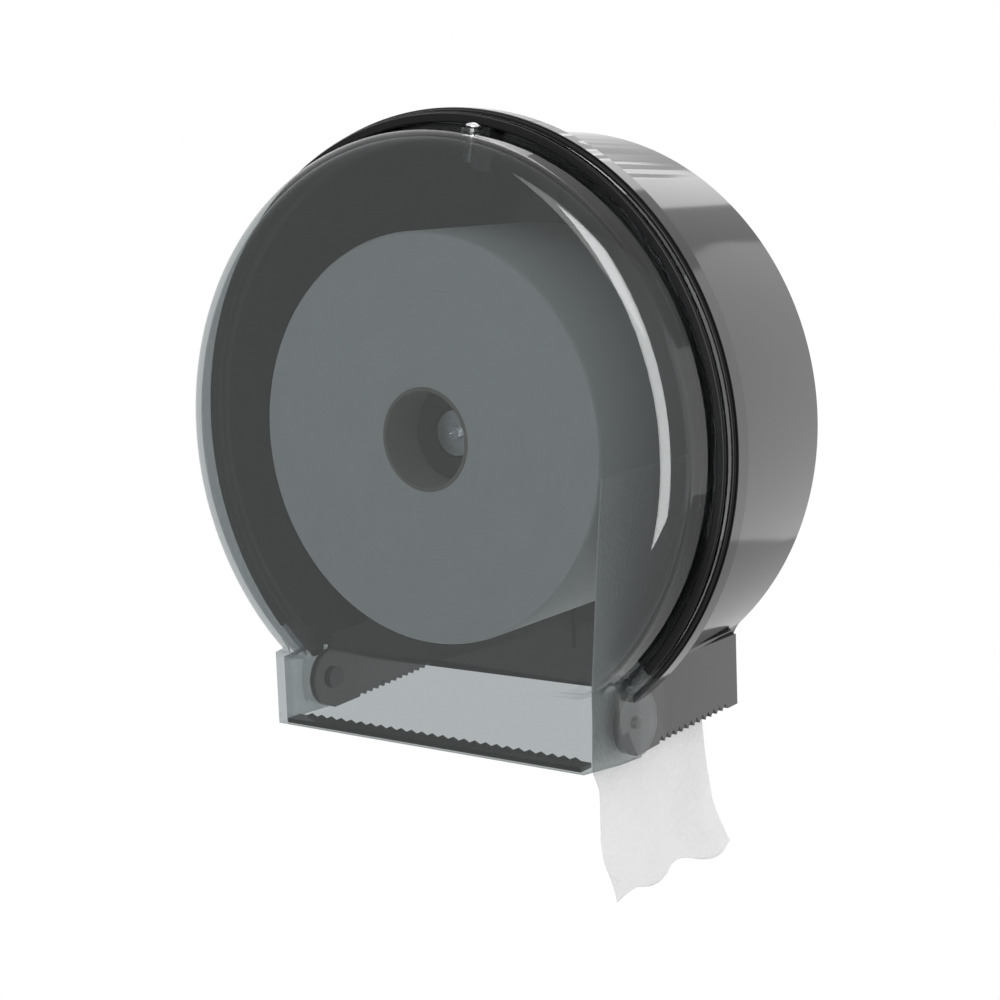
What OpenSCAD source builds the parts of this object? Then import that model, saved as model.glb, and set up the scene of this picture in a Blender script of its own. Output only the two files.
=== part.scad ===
// Jumbo toilet roll dispenser for a wall: a round black housing, a smoked clear
// cover hinged at its chin, a roll on a turning core holder and a hanging tail.
// The wall is the plane y = 0, the drum's axis lies along Y and the front faces -Y.

/* [Drum] */
// Outer radius of the housing's round wall, just behind its rim ring
drum_r = 131; // [126:0.5:140]
// How much smaller that radius is at the wall
drum_draft = 2.5; // [0:0.25:3]
// Depth of the housing, from the wall to the front of its rim ring
housing_depth = 91; // [86:1:96]
// Wall thickness of the housing
shell = 3; // [2.5:0.1:3.6]
// How far the rim ring stands out from the round wall
ring_out = 8.5; // [8:0.5:12]
// Width of the rim ring, along the depth
ring_w = 8; // [5:0.5:10]
// Thickness of the tongue that enters the cover
tongue_t = 2.4; // [2:0.1:3]
// How far the tongue stands in front of the rim ring
tongue_len = 5.5; // [3:0.5:5.5]
// Height of the stiffening ribs on the wall plate
rib_h = 3; // [2:0.5:4]

/* [Cover] */
// Depth of the cover's front face, measured from the wall
cover_face_depth = 122; // [121:1:136]
// Wall thickness of the cover
cover_wall = 2.6; // [2.2:0.1:3]
// Radius of the rounded shoulder between the face and the side
shoulder_r = 12; // [8:0.5:14]
// How much the cover's side narrows towards the face
cover_draft = 2.5; // [0:0.25:4]
// Radial step from the housing's round wall out to the cover's side
cover_step = 2; // [1.5:0.1:3]
// Width of the cover's rim flange, measured outwards
cover_flange_out = 4.8; // [4:0.1:5.5]
// Thickness of the cover's rim flange
cover_flange_t = 3; // [2:0.25:4]

/* [Chin] */
// Outer width of the housing's chin, beside the hinges
chin_w = 168; // [156:1:180]
// Extra width of the housing's chin at the wall, on each side
chin_flare = 2; // [0:0.25:3]
// How far the mouth stands below the drum's lowest point
chin_below = 2.8; // [0:0.2:12]
// How far the chin's seam lies behind the front of the rim ring
chin_setback = 7; // [6:0.5:8]
// How much higher the mouth's edge is at the wall than at the seam
chin_rear_lift = 2.5; // [0:0.25:4]
// How much higher the mouth's edge is at the front than at the seam
chin_front_lift = 1.8; // [0:0.2:3]
// Outer width of the cover's chin at its front face
chin_front_w = 164; // [150:1:166]
// Radius of the hollow blend between the drum and the chin
blend_r = 16; // [10:0.5:16]

/* [Hinge] */
// Radius of the hinge ears
ear_r = 14; // [12:0.5:15]
// Radius of the hinge pins
pin_r = 3; // [2.5:0.25:4]
// Radius of a hinge pin's inner head
pin_head_r = 5; // [4.5:0.25:6]
// Thickness of a hinge pin's inner head
pin_head_t = 1.6; // [1.2:0.1:1.8]

/* [Tearing teeth] */
// Number of teeth along each side of the mouth
side_teeth = 11; // [8:1:11]
// Distance from tooth to tooth along the sides
side_pitch = 4.8; // [4:0.1:4.8]
// Height of the side teeth
side_tooth_h = 3; // [2:0.25:3.5]
// Plain ledge between the hinge line and the first side tooth
side_ledge = 20.5; // [18:0.5:22]
// Number of teeth along the front strip
strip_teeth = 26; // [20:1:26]
// Distance from tooth to tooth along the front strip
strip_pitch = 5.7; // [4.8:0.1:5.8]
// Height of the front strip's teeth, which stand up along its inner edge
strip_tooth = 1.3; // [0.8:0.1:1.8]
// Width of the front strip
strip_w = 8; // [6:0.5:9]
// Thickness of the front strip
strip_t = 2; // [1.2:0.1:2.4]

/* [Roll] */
// Outer diameter of the paper roll
roll_od = 177; // [120:1:190]
// Width of the paper roll
roll_w = 90; // [80:1:91]
// Outer diameter of the cardboard core
core_od = 45; // [40:0.5:50]
// Wall thickness of the cardboard core
core_wall = 1.7; // [1:0.1:2.5]
// Gap between the roll's front face and the inside of the cover's face
roll_face_gap = 7.4; // [5.4:0.1:9]

/* [Spindle] */
// Radius of the fixed axle
axle_r = 6; // [5:0.25:7]
// Depth of the axle's front end, measured from the wall
axle_end = 88; // [70:1:95]
// Radius of the spindle's base flange
base_r = 24; // [22:0.5:26]
// Thickness of the spindle's base flange
base_t = 4; // [3:0.25:5]
// Wall thickness of the core holder's outer tube
holder_wall = 2; // [1.6:0.1:2.6]
// Wall thickness of the core holder's hub
hub_wall = 3; // [2:0.25:4]
// Thickness of the washer that keeps the core holder on
washer_t = 1.5; // [1:0.1:2]
// Radius of that washer
washer_r = 10; // [9:0.25:11]
// Radius of the circle that the base screws stand on
base_screw_ring = 18; // [15:0.5:19]

/* [Lock] */
// How far round the drum from its top the lock stands, in degrees
lock_angle = 10.8; // [0:0.2:14]
// Radius of the lock barrel
barrel_r = 3; // [2.5:0.1:3.2]
// Height of the barrel's round head above its seat
lock_head_h = 2.2; // [1.8:0.1:2.6]
// Reach of the lock's cam, from the barrel's axis
cam_reach = 14; // [12:0.5:15]
// Thickness of the cam
cam_t = 2.5; // [2:0.25:3]
// Thickness of the keeper plate
keeper_t = 2; // [1.5:0.1:2.2]
// Width of the keeper plate
keeper_w = 10; // [9:0.5:12]

/* [Wall fixing] */
// Distance between the wall screw holes, sideways
wall_hole_x = 150; // [130:1:160]
// Distance between the wall screw holes, up and down
wall_hole_z = 130; // [110:1:140]
// Radius of a wall screw hole
wall_hole_r = 2.75; // [2:0.25:3.5]
// Height of the pad round each wall screw hole
wall_pad_h = 2; // [1:0.5:3]

/* [Screws] */
// Radius of the small screws' shanks
screw_r = 1.5; // [1.25:0.05:1.75]
// Radius of the small screws' heads
screw_head_r = 3; // [2.5:0.1:3.2]
// Height of the small screws' heads
screw_head_h = 2; // [1.5:0.1:2.2]

/* [Paper tail] */
// Length of paper that hangs below the mouth
tail_hang = 61; // [30:1:90]
// Thickness of the hanging sheet
tail_t = 0.5; // [0.4:0.05:0.8]
// Depth of the waves near the tail's torn end
tail_wave = 2.6; // [0:0.2:4]

/* [Clearances] */
// Gap between the cover and the housing at the seam
seam_gap = 0.4; // [0.3:0.05:0.6]
// Sideways gap between a hinge ear and the wall beside it
ear_gap = 0.2; // [0.15:0.05:0.3]
// Radial running gap of pins, the axle and the lock barrel
run_gap = 0.05; // [0.03:0.01:0.08]
// Radial gap between the core holder and the cardboard core
core_gap = 0.2; // [0.1:0.05:0.4]
// Gap between the roll and the sheet that leaves it
tail_gap = 0.5; // [0.4:0.1:1]

/* [Hidden] */
$fn = 128;

// Small overlap that lets a cut run clean past a face
eps = 1;

// Drum and seam
ring_r = drum_r + ring_out;
drum_rear_r = drum_r - drum_draft;
seal_t = 2;
seal_out_gap = 0.8;
seal_w = 3;
cover_seal_w = 4;
cover_seal_gap = 0.2;
seal_end_gap = 13.5;
cover_seal_end_gap = 14;
cover_rear_depth = housing_depth + seal_t + seam_gap;
cover_r = drum_r + cover_step;
cover_front_r = cover_r - cover_draft;
cover_flange_r = cover_r + cover_flange_out;
cover_flange_front = cover_rear_depth + cover_flange_t;
tongue_gap = 1.4;
tongue_r = cover_r - cover_wall - tongue_gap;
tongue_root = 8;

// Chin
chin_depth = housing_depth - chin_setback;
chin_half = chin_w / 2;
chin_rear_slope = atan(chin_rear_lift / chin_depth);
chin_front_slope = atan(chin_front_lift / (cover_face_depth - chin_depth));
chin_z = -(drum_r + chin_below);
chin_inner_half = chin_half - shell;
chin_side_depth = chin_depth + seam_gap;
chin_flat_run = 24;
cover_inner_half = chin_half + ear_gap;
cover_chin_half = chin_half + cover_wall;
chin_front_half = chin_front_w / 2;
chin_taper = atan((cover_chin_half - chin_front_half) / (cover_face_depth - chin_side_depth));
chin_top_z = -99 * drum_r / 131;
front_inner_depth = cover_face_depth - cover_wall;

// Hinge
ear_lift = 0.4;
hinge_z = chin_z + ear_r + ear_lift;
ear_t = 1.8;
ear_swing_room = 2;
ear_front_depth = chin_depth + ear_r + ear_swing_room;
ear_step = 0.5;
ear_clear = 0.8;
ear_side = cover_chin_half + 0.6;
pin_step = 0.5;
pin_tip_r = pin_r - pin_step;
pin_tip_len = ear_t - 0.4;
pin_head_gap = 0.1;

// Roll and spindle
roll_r = roll_od / 2;
roll_front = front_inner_depth - roll_face_gap;
roll_rear = roll_front - roll_w;
core_r = core_od / 2;
core_inner_r = core_r - core_wall;
holder_r = core_inner_r - core_gap;
base_front = shell + base_t;
hub_gap = 0.3;
hub_rear = base_front + hub_gap;
holder_base_gap = 3;
holder_rear = base_front + screw_head_h + holder_base_gap;
holder_lip = 2;
holder_front = axle_end + holder_lip;
holder_cap = 6;
hub_r = axle_r + run_gap + hub_wall;
washer_recess_gap = 1.5;
washer_recess_r = washer_r + washer_recess_gap;
washer_gap = 0.2;
holder_ribs = 4;
holder_rib_t = 2;
holder_rib_setback = 4;
axle_screw_bite = 12;
axle_screw_room = 2;
rib_w = 2;
rib_gap = 2;
rib_end_gap = 17;
wall_pad_rim = 4;

// Screws
screw_gap = 0.1;
screw_tip_depth = 0.6;
slot_w = 0.7;
slot_reach = 0.6;

// Lock and keeper
lock_run = 11;
lock_depth = housing_depth + lock_run;
lock_pad_r = 5;
lock_pad_sink = 0.6;
lock_pad_h = 4.4;
lock_pad_top = cover_r - lock_pad_sink;
lock_pad_bottom = lock_pad_top - lock_pad_h;
retainer_r = 4.6;
retainer_t = 1;
retainer_gap = 0.2;
retainer_slot = 2.4;
retainer_grip = 0.6;
retainer_top = lock_pad_bottom - retainer_gap;
lock_head_lip = 0.4;
lock_head_r = barrel_r + lock_head_lip;
lock_slot_w = 0.8;
lock_slot_h = 1;
cam_w = 6;
cam_screw_r = 1.2;
cam_screw_bite = 3.5;
cam_screw_room = 0.5;
cam_screw_head_r = 2.2;
cam_screw_head_h = 1.6;
keeper_side_gap = 2.5;
keeper_gap = 1.2;
keeper_room_gap = 0.3;
keeper_run = 20;
keeper_setback = 1;
keeper_tab_drop = 9;
keeper_x = cam_w / 2 + keeper_side_gap;
keeper_room_r = tongue_r - tongue_t - keeper_room_gap;
keeper_top = sqrt(pow(keeper_room_r, 2) - pow(keeper_x + keeper_w, 2));
barrel_bottom = keeper_top - keeper_t - keeper_gap;
keeper_rear = housing_depth - keeper_run;
keeper_tab_rear = lock_depth + cam_w / 2 + keeper_gap;
keeper_pad_rear = keeper_rear - keeper_t;
keeper_screw_depths = [keeper_rear + keeper_run / 4, keeper_rear + keeper_run * 2 / 3];
keeper_screw_r = screw_r - 0.2;
keeper_screw_head_r = screw_head_r - 0.4;
keeper_screw_head_h = screw_head_h - 0.5;
keeper_screw_bite = 2.5;

// Paper tail: it leaves the roll, bends past the chin's upper corner and passes the mouth
tail_pin_gap = 2.8;
tail_drop = 2;
tail_mouth_z = chin_z - tail_drop;
tail_mouth = [chin_inner_half - pin_head_t - tail_pin_gap, tail_mouth_z];
tail_corner_z = chin_top_z - cover_wall / 2;
tail_corner_r = tongue_r - tongue_t;
tail_corner_gap = 3.75;
tail_corner_x = min(
    sqrt(pow(tail_corner_r, 2) - pow(tail_corner_z, 2)),
    chin_inner_half - tail_corner_gap
);
tail_corner = [tail_corner_x, tail_corner_z];
tail_r = roll_r + tail_gap + tail_t / 2;
tail_angle = atan2(tail_corner[1], tail_corner[0]) + acos(tail_r / norm(tail_corner));
tail_start = [tail_r * cos(tail_angle), tail_r * sin(tail_angle)];
tail_top_z = tail_start[1];
tail_end_z = chin_z - tail_hang;
tail_torn = 3;

// Front strip
strip_end_gap = 0.4;
strip_tooth_t = 1.2;
tail_cols = 20;
tail_rows = 28;

BLACK = [0.05, 0.05, 0.055];
SMOKE = [0.16, 0.18, 0.2, 0.55];
PAPER = [0.93, 0.93, 0.92];
CARD = [0.62, 0.56, 0.47];
METAL = [0.75, 0.76, 0.78];
GREY = [0.3, 0.31, 0.33];

// Puts a shape that is drawn in the front view at a depth, growing forwards
module forward(depth) {
    translate([0, -depth, 0])
        rotate([90, 0, 0])
            children();
}

// Turns an outline of radius against depth about the drum's axis
module turned() {
    rotate([90, 0, 0])
        rotate_extrude($fn = 180)
            children();
}

// A round bar along X, from x0 to x1, on the hinge line
module hinge_bar(x0, x1, r) {
    translate([x0, -chin_depth, hinge_z])
        rotate([0, 90, 0])
            cylinder(r = r, h = x1 - x0);
}

// Swings a shape from the drum's top round to the lock's place
module at_lock_angle() {
    rotate([0, lock_angle, 0])
        children();
}

// Draws its children on the right and mirrored on the left
module both_sides() {
    children();
    mirror([1, 0, 0])
        children();
}

// The hollow blend in a corner where a round of radius r meets a side at x = half
module blend_outline(half, r) {
    cx = half + blend_r;
    cz = -sqrt((r + blend_r) * (r + blend_r) - cx * cx);
    touch = r / (r + blend_r);
    difference() {
        polygon([
            [half - shell, cz * touch + shell],
            [cx * touch - shell, cz * touch + shell],
            [cx * touch, cz * touch],
            [cx, cz],
            [half, cz],
            [half - shell, cz]
        ]);
        translate([cx, cz])
            circle(r = blend_r);
    }
}

// Plan of the housing's chin, drawn by half widths at the wall and at the hinges
module chin_plan(rear_half, front_half, rear_depth, front_depth) {
    flat = chin_depth - chin_flat_run;
    polygon([
        [-rear_half, -rear_depth], [rear_half, -rear_depth],
        [front_half, -flat], [front_half, -front_depth],
        [-front_half, -front_depth], [-front_half, -flat]
    ]);
}

module housing_outside() {
    turned()
        polygon([
            [0, 0],
            [drum_rear_r, 0],
            [drum_r, housing_depth - ring_w],
            [ring_r, housing_depth - ring_w],
            [ring_r, housing_depth],
            [tongue_r, housing_depth],
            [tongue_r, housing_depth + tongue_len],
            [0, housing_depth + tongue_len]
        ]);
}

module housing_chin_outside() {
    translate([0, 0, chin_z])
        linear_extrude(height = chin_top_z - chin_z)
            chin_plan(chin_half + chin_flare, chin_half, 0, chin_depth);
    both_sides()
        forward(0)
            linear_extrude(height = housing_depth - ring_w)
                blend_outline(chin_half, drum_rear_r);
}

module housing_inside() {
    turned()
        polygon([
            [0, shell],
            [drum_rear_r - shell, shell],
            [drum_r - shell, housing_depth - tongue_root],
            [tongue_r - tongue_t, housing_depth - tongue_root],
            [tongue_r - tongue_t, housing_depth + tongue_len + eps],
            [0, housing_depth + tongue_len + eps]
        ]);
    translate([0, 0, chin_z - 2 * ring_out])
        linear_extrude(height = chin_top_z - chin_z + 2 * ring_out + 2 * shell)
            chin_plan(
                chin_inner_half + chin_flare, chin_inner_half,
                shell, housing_depth + ear_r
            );
}

// Puts a shape at the seam's lower edge and tilts it by the slope of the mouth's edge
module mouth_edge(slope) {
    translate([0, -chin_depth, chin_z])
        rotate([slope, 0, 0])
            children();
}

// Space in front of and below the chin, which the round wall and its ring mustn't enter
module round_wall_cut() {
    front = housing_depth + ear_r;
    rear = min(chin_depth, housing_depth - ring_w);
    translate([-ear_side, -front, chin_z - 3 * ring_out])
        cube([2 * ear_side, front - rear, chin_top_z + 2 * shell - chin_z + 3 * ring_out]);
    translate([-chin_half, -front, chin_z - 3 * ring_out])
        cube([chin_w, front + eps, 3 * ring_out]);
}

// Space below the slanting edge of the mouth
module below_mouth() {
    mouth_edge(chin_rear_slope)
        translate([-ring_r, -eps, -3 * ring_out])
            cube([2 * ring_r, housing_depth + 2 * eps, 3 * ring_out]);
}

module side_tooth_row() {
    for (i = [0 : side_teeth - 1])
        translate([chin_inner_half, side_ledge + (i + 1) * side_pitch, side_tooth_h])
            rotate([90, 0, 90])
                mirror([1, 0, 0])
                    linear_extrude(height = shell + chin_flare)
                        polygon([[0, eps], [0, 0], [side_pitch / 2, -side_tooth_h],
                                 [side_pitch, 0], [side_pitch, eps]]);
}

module side_tooth_gap() {
    translate([chin_inner_half - eps, side_ledge, -eps])
        cube([shell + chin_flare + 2 * eps, side_teeth * side_pitch, side_tooth_h + eps]);
}

module wall_hole_places() {
    for (x = [-wall_hole_x / 2, wall_hole_x / 2])
        for (z = [-wall_hole_z / 2, wall_hole_z / 2])
            translate([x, 0, z])
                children();
}

module base_screw_places() {
    for (a = [90, 210, 330])
        rotate([0, a, 0])
            translate([base_screw_ring, 0, 0])
                children();
}

module wall_plate_ribs() {
    for (a = [0 : 90 : 270])
        rotate([0, a, 0])
            translate([base_r + rib_gap, -shell - rib_h, -rib_w / 2])
                cube([drum_rear_r - base_r - rib_end_gap, rib_h + eps, rib_w]);
}

// The pad under the drum's top that the keeper plate is screwed to
module keeper_pad() {
    at_lock_angle()
        translate([keeper_x, keeper_setback - housing_depth, keeper_top])
            cube([
                keeper_w,
                housing_depth - keeper_setback - keeper_pad_rear,
                drum_r - shell - keeper_top
            ]);
}

module rear_housing() {
    color(BLACK)
    difference() {
        union() {
            difference() {
                union() {
                    difference() {
                        housing_outside();
                        round_wall_cut();
                    }
                    housing_chin_outside();
                }
                housing_inside();
                below_mouth();
            }
            both_sides()
                hinge_bar(chin_inner_half, chin_half, ear_r - ear_step);
            wall_hole_places()
                forward(shell - eps)
                    cylinder(r = wall_hole_r + wall_pad_rim, h = wall_pad_h + eps);
            wall_plate_ribs();
            keeper_pad();
        }
        both_sides() {
            hinge_bar(chin_inner_half - eps, chin_half + eps, pin_r + run_gap);
            hinge_bar(chin_half, ear_side, ear_r + ear_clear);
            side_tooth_gap_cut();
        }
        wall_hole_places()
            forward(-eps)
                cylinder(r = wall_hole_r, h = shell + wall_pad_h + 2 * eps);
        base_screw_places()
            forward(screw_tip_depth)
                cylinder(r = screw_r, h = shell);
        keeper_screw_places()
            translate([0, 0, -eps])
                cylinder(r = keeper_screw_r, h = keeper_screw_bite + screw_gap + eps);
    }
}

// Cuts the plain edge back between the side teeth
module side_tooth_gap_cut() {
    mouth_edge(chin_rear_slope)
        difference() {
            side_tooth_gap();
            side_tooth_row();
        }
}

module keeper_screw_places() {
    at_lock_angle()
        for (d = keeper_screw_depths)
            translate([keeper_x + keeper_w / 2, -d, keeper_top])
                children();
}

// A strip that lies round the rim and stops short of the hinges, with round ends
module rim_strip(r0, r1, depth, thick, end_x) {
    mid = (r0 + r1) / 2;
    end_angle = -acos(end_x / mid);
    forward(depth) {
        rotate([0, 0, end_angle])
            rotate_extrude(angle = 180 - 2 * end_angle, $fn = 180)
                translate([r0, 0])
                    square([r1 - r0, thick]);
        for (a = [end_angle, 180 - end_angle])
            rotate([0, 0, a])
                translate([mid, 0, 0])
                    cylinder(r = (r1 - r0) / 2, h = thick, $fn = 32);
    }
}

module housing_rim_seal() {
    color(GREY)
        rim_strip(
            ring_r - seal_out_gap - seal_w, ring_r - seal_out_gap,
            housing_depth, seal_t, chin_half + seal_end_gap
        );
}

module cover_rim_seal() {
    color(GREY)
        rim_strip(
            cover_r + cover_seal_gap, cover_r + cover_seal_gap + cover_seal_w,
            cover_flange_front, seal_t, chin_half + cover_seal_end_gap
        );
}

module spindle_base() {
    color(GREY)
    difference() {
        union() {
            forward(shell)
                cylinder(r = base_r, h = base_t);
            forward(shell)
                cylinder(r = axle_r, h = axle_end - shell);
        }
        base_screw_places()
            forward(shell - eps)
                cylinder(r = screw_r + screw_gap, h = base_t + 2 * eps);
        forward(axle_end - axle_screw_bite - axle_screw_room)
            cylinder(r = screw_r, h = axle_screw_bite + axle_screw_room + eps);
    }
}

// A small screw with a round head, drawn from its head's underside down
module small_screw(shank_r, shank_len, head_r, head_h) {
    translate([0, 0, -shank_len])
        cylinder(r = shank_r, h = shank_len);
    difference() {
        cylinder(r = head_r, h = head_h);
        for (a = [0, 90])
            rotate([0, 0, a])
                translate([-head_r * slot_reach, -slot_w / 2, head_h / 2])
                    cube([2 * head_r * slot_reach, slot_w, head_h]);
    }
}

module spindle_base_screws() {
    color(METAL)
    base_screw_places()
        forward(base_front)
            small_screw(screw_r, base_front - screw_tip_depth, screw_head_r, screw_head_h);
}

module axle_washer() {
    color(METAL)
    forward(axle_end)
        difference() {
            cylinder(r = washer_r, h = washer_t);
            translate([0, 0, -eps])
                cylinder(r = screw_r + screw_gap, h = washer_t + 2 * eps);
        }
}

module axle_screw() {
    color(METAL)
    forward(axle_end + washer_t)
        small_screw(screw_r, washer_t + axle_screw_bite, screw_head_r, screw_head_h);
}

module core_holder() {
    cap_rear = holder_front - holder_cap;
    color(BLACK)
    difference() {
        union() {
            difference() {
                forward(holder_rear)
                    cylinder(r = holder_r, h = holder_front - holder_rear);
                forward(holder_rear - eps)
                    cylinder(r = holder_r - holder_wall, h = cap_rear - holder_rear + eps);
            }
            forward(hub_rear)
                cylinder(r = hub_r, h = holder_front - hub_rear);
            for (i = [0 : holder_ribs - 1])
                rotate([0, i * 360 / holder_ribs, 0])
                    translate([hub_r - eps, -cap_rear - eps, -holder_rib_t / 2])
                        cube([
                            holder_r - holder_wall / 2 - hub_r + eps,
                            cap_rear - holder_rear - holder_rib_setback,
                            holder_rib_t
                        ]);
        }
        forward(hub_rear - eps)
            cylinder(r = axle_r + run_gap, h = holder_front - hub_rear + 2 * eps);
        forward(axle_end - washer_gap)
            cylinder(r = washer_recess_r, h = holder_front);
    }
}

module roll_core() {
    color(CARD)
    forward(roll_rear)
        difference() {
            cylinder(r = core_r, h = roll_w);
            translate([0, 0, -eps])
                cylinder(r = core_inner_r, h = roll_w + 2 * eps);
        }
}

module paper_roll() {
    color(PAPER)
    forward(roll_rear)
        difference() {
            cylinder(r = roll_r, h = roll_w);
            translate([0, 0, -eps])
                cylinder(r = core_r, h = roll_w + 2 * eps);
        }
}

// Shares of the hanging length from the mouth down, with how far each edge of the
// sheet lies behind the roll's matching face there
tail_front_rows = [[1, 16.5], [0.62, 9], [0.2, 9.5], [0, 5]];
tail_back_rows = [[1, 14], [0.62, 6.5], [0.2, 6], [0, 5.5]];
tail_lead = 20;
tail_lead_inset = 6;
tail_twist = 7;
tail_edge_gap = 0.5;
tail_front_edge = concat(
    [for (row = tail_front_rows) [chin_z - row[0] * tail_hang, roll_front - row[1]]],
    [[chin_z + tail_lead, roll_front - tail_lead_inset], [tail_top_z, roll_front - tail_edge_gap]]
);
tail_back_edge = concat(
    [for (row = tail_back_rows) [chin_z - row[0] * tail_hang, roll_rear - row[1]]],
    [[chin_z + tail_lead, roll_rear - tail_lead_inset], [tail_top_z, roll_rear + tail_edge_gap]]
);
tail_path = [[tail_end_z, tail_mouth[0]], [tail_mouth_z, tail_mouth[0]],
             [tail_corner[1], tail_corner[0]], [tail_top_z, tail_start[0]]];

function tail_z(v) = tail_top_z + v * (tail_end_z - tail_top_z);
function tail_swell(z) = z > tail_mouth_z ? 0 : (tail_mouth_z - z) / (tail_mouth_z - tail_end_z);
function tail_fold(u, z) = tail_wave * tail_swell(z)
    * (sin(430 * u + 40) + 0.45 * sin(900 * u - 60 + 120 * tail_swell(z)));
function tail_point(u, v, side) =
    let (z = tail_z(v))
    let (front = lookup(z, tail_front_edge))
    let (back = lookup(z, tail_back_edge))
    let (torn = v == 1 ? tail_torn * sin(760 * u) : 0)
    [
        lookup(z, tail_path) + tail_fold(u, z) + tail_twist * u * pow(tail_swell(z), 2)
            + side * tail_t / 2,
        -(front + u * (back - front)),
        z + torn
    ];

module paper_tail() {
    row_pts = tail_cols + 1;
    sheet_pts = row_pts * (tail_rows + 1);
    points = [
        for (side = [1, -1])
            for (j = [0 : tail_rows])
                for (i = [0 : tail_cols])
                    tail_point(i / tail_cols, j / tail_rows, side)
    ];
    outer = [
        for (j = [0 : tail_rows - 1])
            for (i = [0 : tail_cols - 1])
                let (a = j * row_pts + i)
                each [[a, a + 1, a + row_pts + 1], [a, a + row_pts + 1, a + row_pts]]
    ];
    inner = [for (f = outer) [f[2] + sheet_pts, f[1] + sheet_pts, f[0] + sheet_pts]];
    rim = concat(
        [for (i = [0 : tail_cols - 1]) i],
        [for (j = [0 : tail_rows - 1]) j * row_pts + tail_cols],
        [for (i = [tail_cols : -1 : 1]) tail_rows * row_pts + i],
        [for (j = [tail_rows : -1 : 1]) j * row_pts]
    );
    edge = [
        for (k = [0 : len(rim) - 1])
            let (a = rim[k])
            let (b = rim[(k + 1) % len(rim)])
            each [[b, a, a + sheet_pts], [b, a + sheet_pts, b + sheet_pts]]
    ];
    color(PAPER)
        polyhedron(points = points, faces = concat(outer, inner, edge), convexity = 6);
}

// Outline of the cover's round part, from its rear edge to its face
module cover_outline(rear_r, front_r, round_r, rear, face) {
    polygon([[0, rear], [rear_r, rear], [front_r, face - round_r], [0, face - round_r]]);
    translate([0, face - round_r - eps])
        square([front_r - round_r, round_r + eps]);
    translate([front_r - round_r, face - round_r])
        circle(r = round_r);
}

module cover_outside() {
    turned()
        cover_outline(cover_r, cover_front_r, shoulder_r, cover_rear_depth, cover_face_depth);
    turned()
        translate([0, cover_rear_depth])
            square([cover_flange_r, cover_flange_t]);
}

module cover_inside() {
    turned()
        cover_outline(
            cover_r - cover_wall, cover_front_r - cover_wall, shoulder_r - cover_wall,
            chin_side_depth - eps, front_inner_depth
        );
}

module cover_chin_outside() {
    translate([0, 0, chin_z])
        linear_extrude(height = chin_top_z - chin_z)
            polygon([
                [-cover_chin_half, -chin_side_depth], [cover_chin_half, -chin_side_depth],
                [cover_inner_half + ear_t, -ear_front_depth],
                [chin_front_half, -cover_face_depth], [-chin_front_half, -cover_face_depth],
                [-cover_inner_half - ear_t, -ear_front_depth]
            ]);
    both_sides()
        translate([cover_chin_half, -chin_side_depth, 0])
            rotate([0, 0, -chin_taper])
                translate([-cover_chin_half, 0, 0])
                    forward(cover_rear_depth - chin_side_depth)
                        linear_extrude(height = cover_face_depth - cover_rear_depth - shoulder_r)
                            blend_outline(cover_chin_half, cover_r);
}

module cover_chin_inside() {
    front_half = chin_front_half - cover_wall;
    translate([0, 0, chin_z - 2 * ring_out])
        linear_extrude(height = chin_top_z - chin_z + 2 * ring_out - cover_wall)
            polygon([
                [-cover_inner_half, -chin_side_depth + eps], [cover_inner_half, -chin_side_depth + eps],
                [cover_inner_half, -ear_front_depth], [front_half, -front_inner_depth],
                [-front_half, -front_inner_depth], [-cover_inner_half, -ear_front_depth]
            ]);
}

// Cuts the round part away below and between the chin's sides, along the mouth's edge
module cover_below_chin() {
    translate([-cover_inner_half, -cover_face_depth - eps, chin_z - 3 * ring_out])
        cube([2 * cover_inner_half, cover_face_depth, 3 * ring_out]);
}

module cover_mouth_cut() {
    run = cover_face_depth - chin_depth + eps;
    mouth_edge(-chin_front_slope)
        translate([-cover_chin_half - eps, -run, -3 * ring_out])
            cube([2 * (cover_chin_half + eps), run, 3 * ring_out]);
}

module lock_place(z) {
    at_lock_angle()
        translate([0, -lock_depth, z])
            children();
}

module front_cover() {
    color(SMOKE)
    difference() {
        union() {
            difference() {
                union() {
                    difference() {
                        cover_outside();
                        cover_below_chin();
                    }
                    cover_chin_outside();
                }
                cover_inside();
                cover_chin_inside();
                cover_mouth_cut();
            }
            both_sides()
                hinge_bar(cover_inner_half, cover_inner_half + ear_t, ear_r);
            lock_place(lock_pad_bottom)
                cylinder(r = lock_pad_r, h = lock_pad_top - lock_pad_bottom);
        }
        both_sides()
            hinge_bar(cover_inner_half - eps, cover_inner_half + pin_tip_len, pin_tip_r);
        lock_place(lock_pad_bottom - eps)
            cylinder(r = barrel_r + run_gap, h = lock_pad_top - lock_pad_bottom + 2 * eps);
    }
}

module tear_strip() {
    half = chin_front_half - cover_wall - strip_end_gap;
    inner_depth = front_inner_depth - strip_w;
    teeth_half = strip_teeth * strip_pitch / 2;
    color(BLACK)
    translate([0, 0, chin_z + chin_front_lift]) {
        translate([-half, -front_inner_depth, 0])
            cube([2 * half, strip_w, strip_t]);
        translate([0, 0, strip_t])
            forward(inner_depth)
                linear_extrude(height = strip_tooth_t)
                    polygon([
                        [-teeth_half, -strip_t / 2],
                        for (i = [0 : strip_teeth - 1])
                            each [[i * strip_pitch - teeth_half, 0],
                                  [(i + 0.5) * strip_pitch - teeth_half, strip_tooth]],
                        [teeth_half, 0],
                        [teeth_half, -strip_t / 2]
                    ]);
    }
}

// A hinge pin: a head inside the housing, a shank in its ear and a tip in the cover
module hinge_pin() {
    inner = chin_inner_half - pin_head_gap;
    hinge_bar(inner - pin_head_t, inner, pin_head_r);
    hinge_bar(inner - eps, cover_inner_half - pin_head_gap, pin_r);
    hinge_bar(inner, cover_inner_half + pin_tip_len, pin_tip_r);
}

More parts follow.
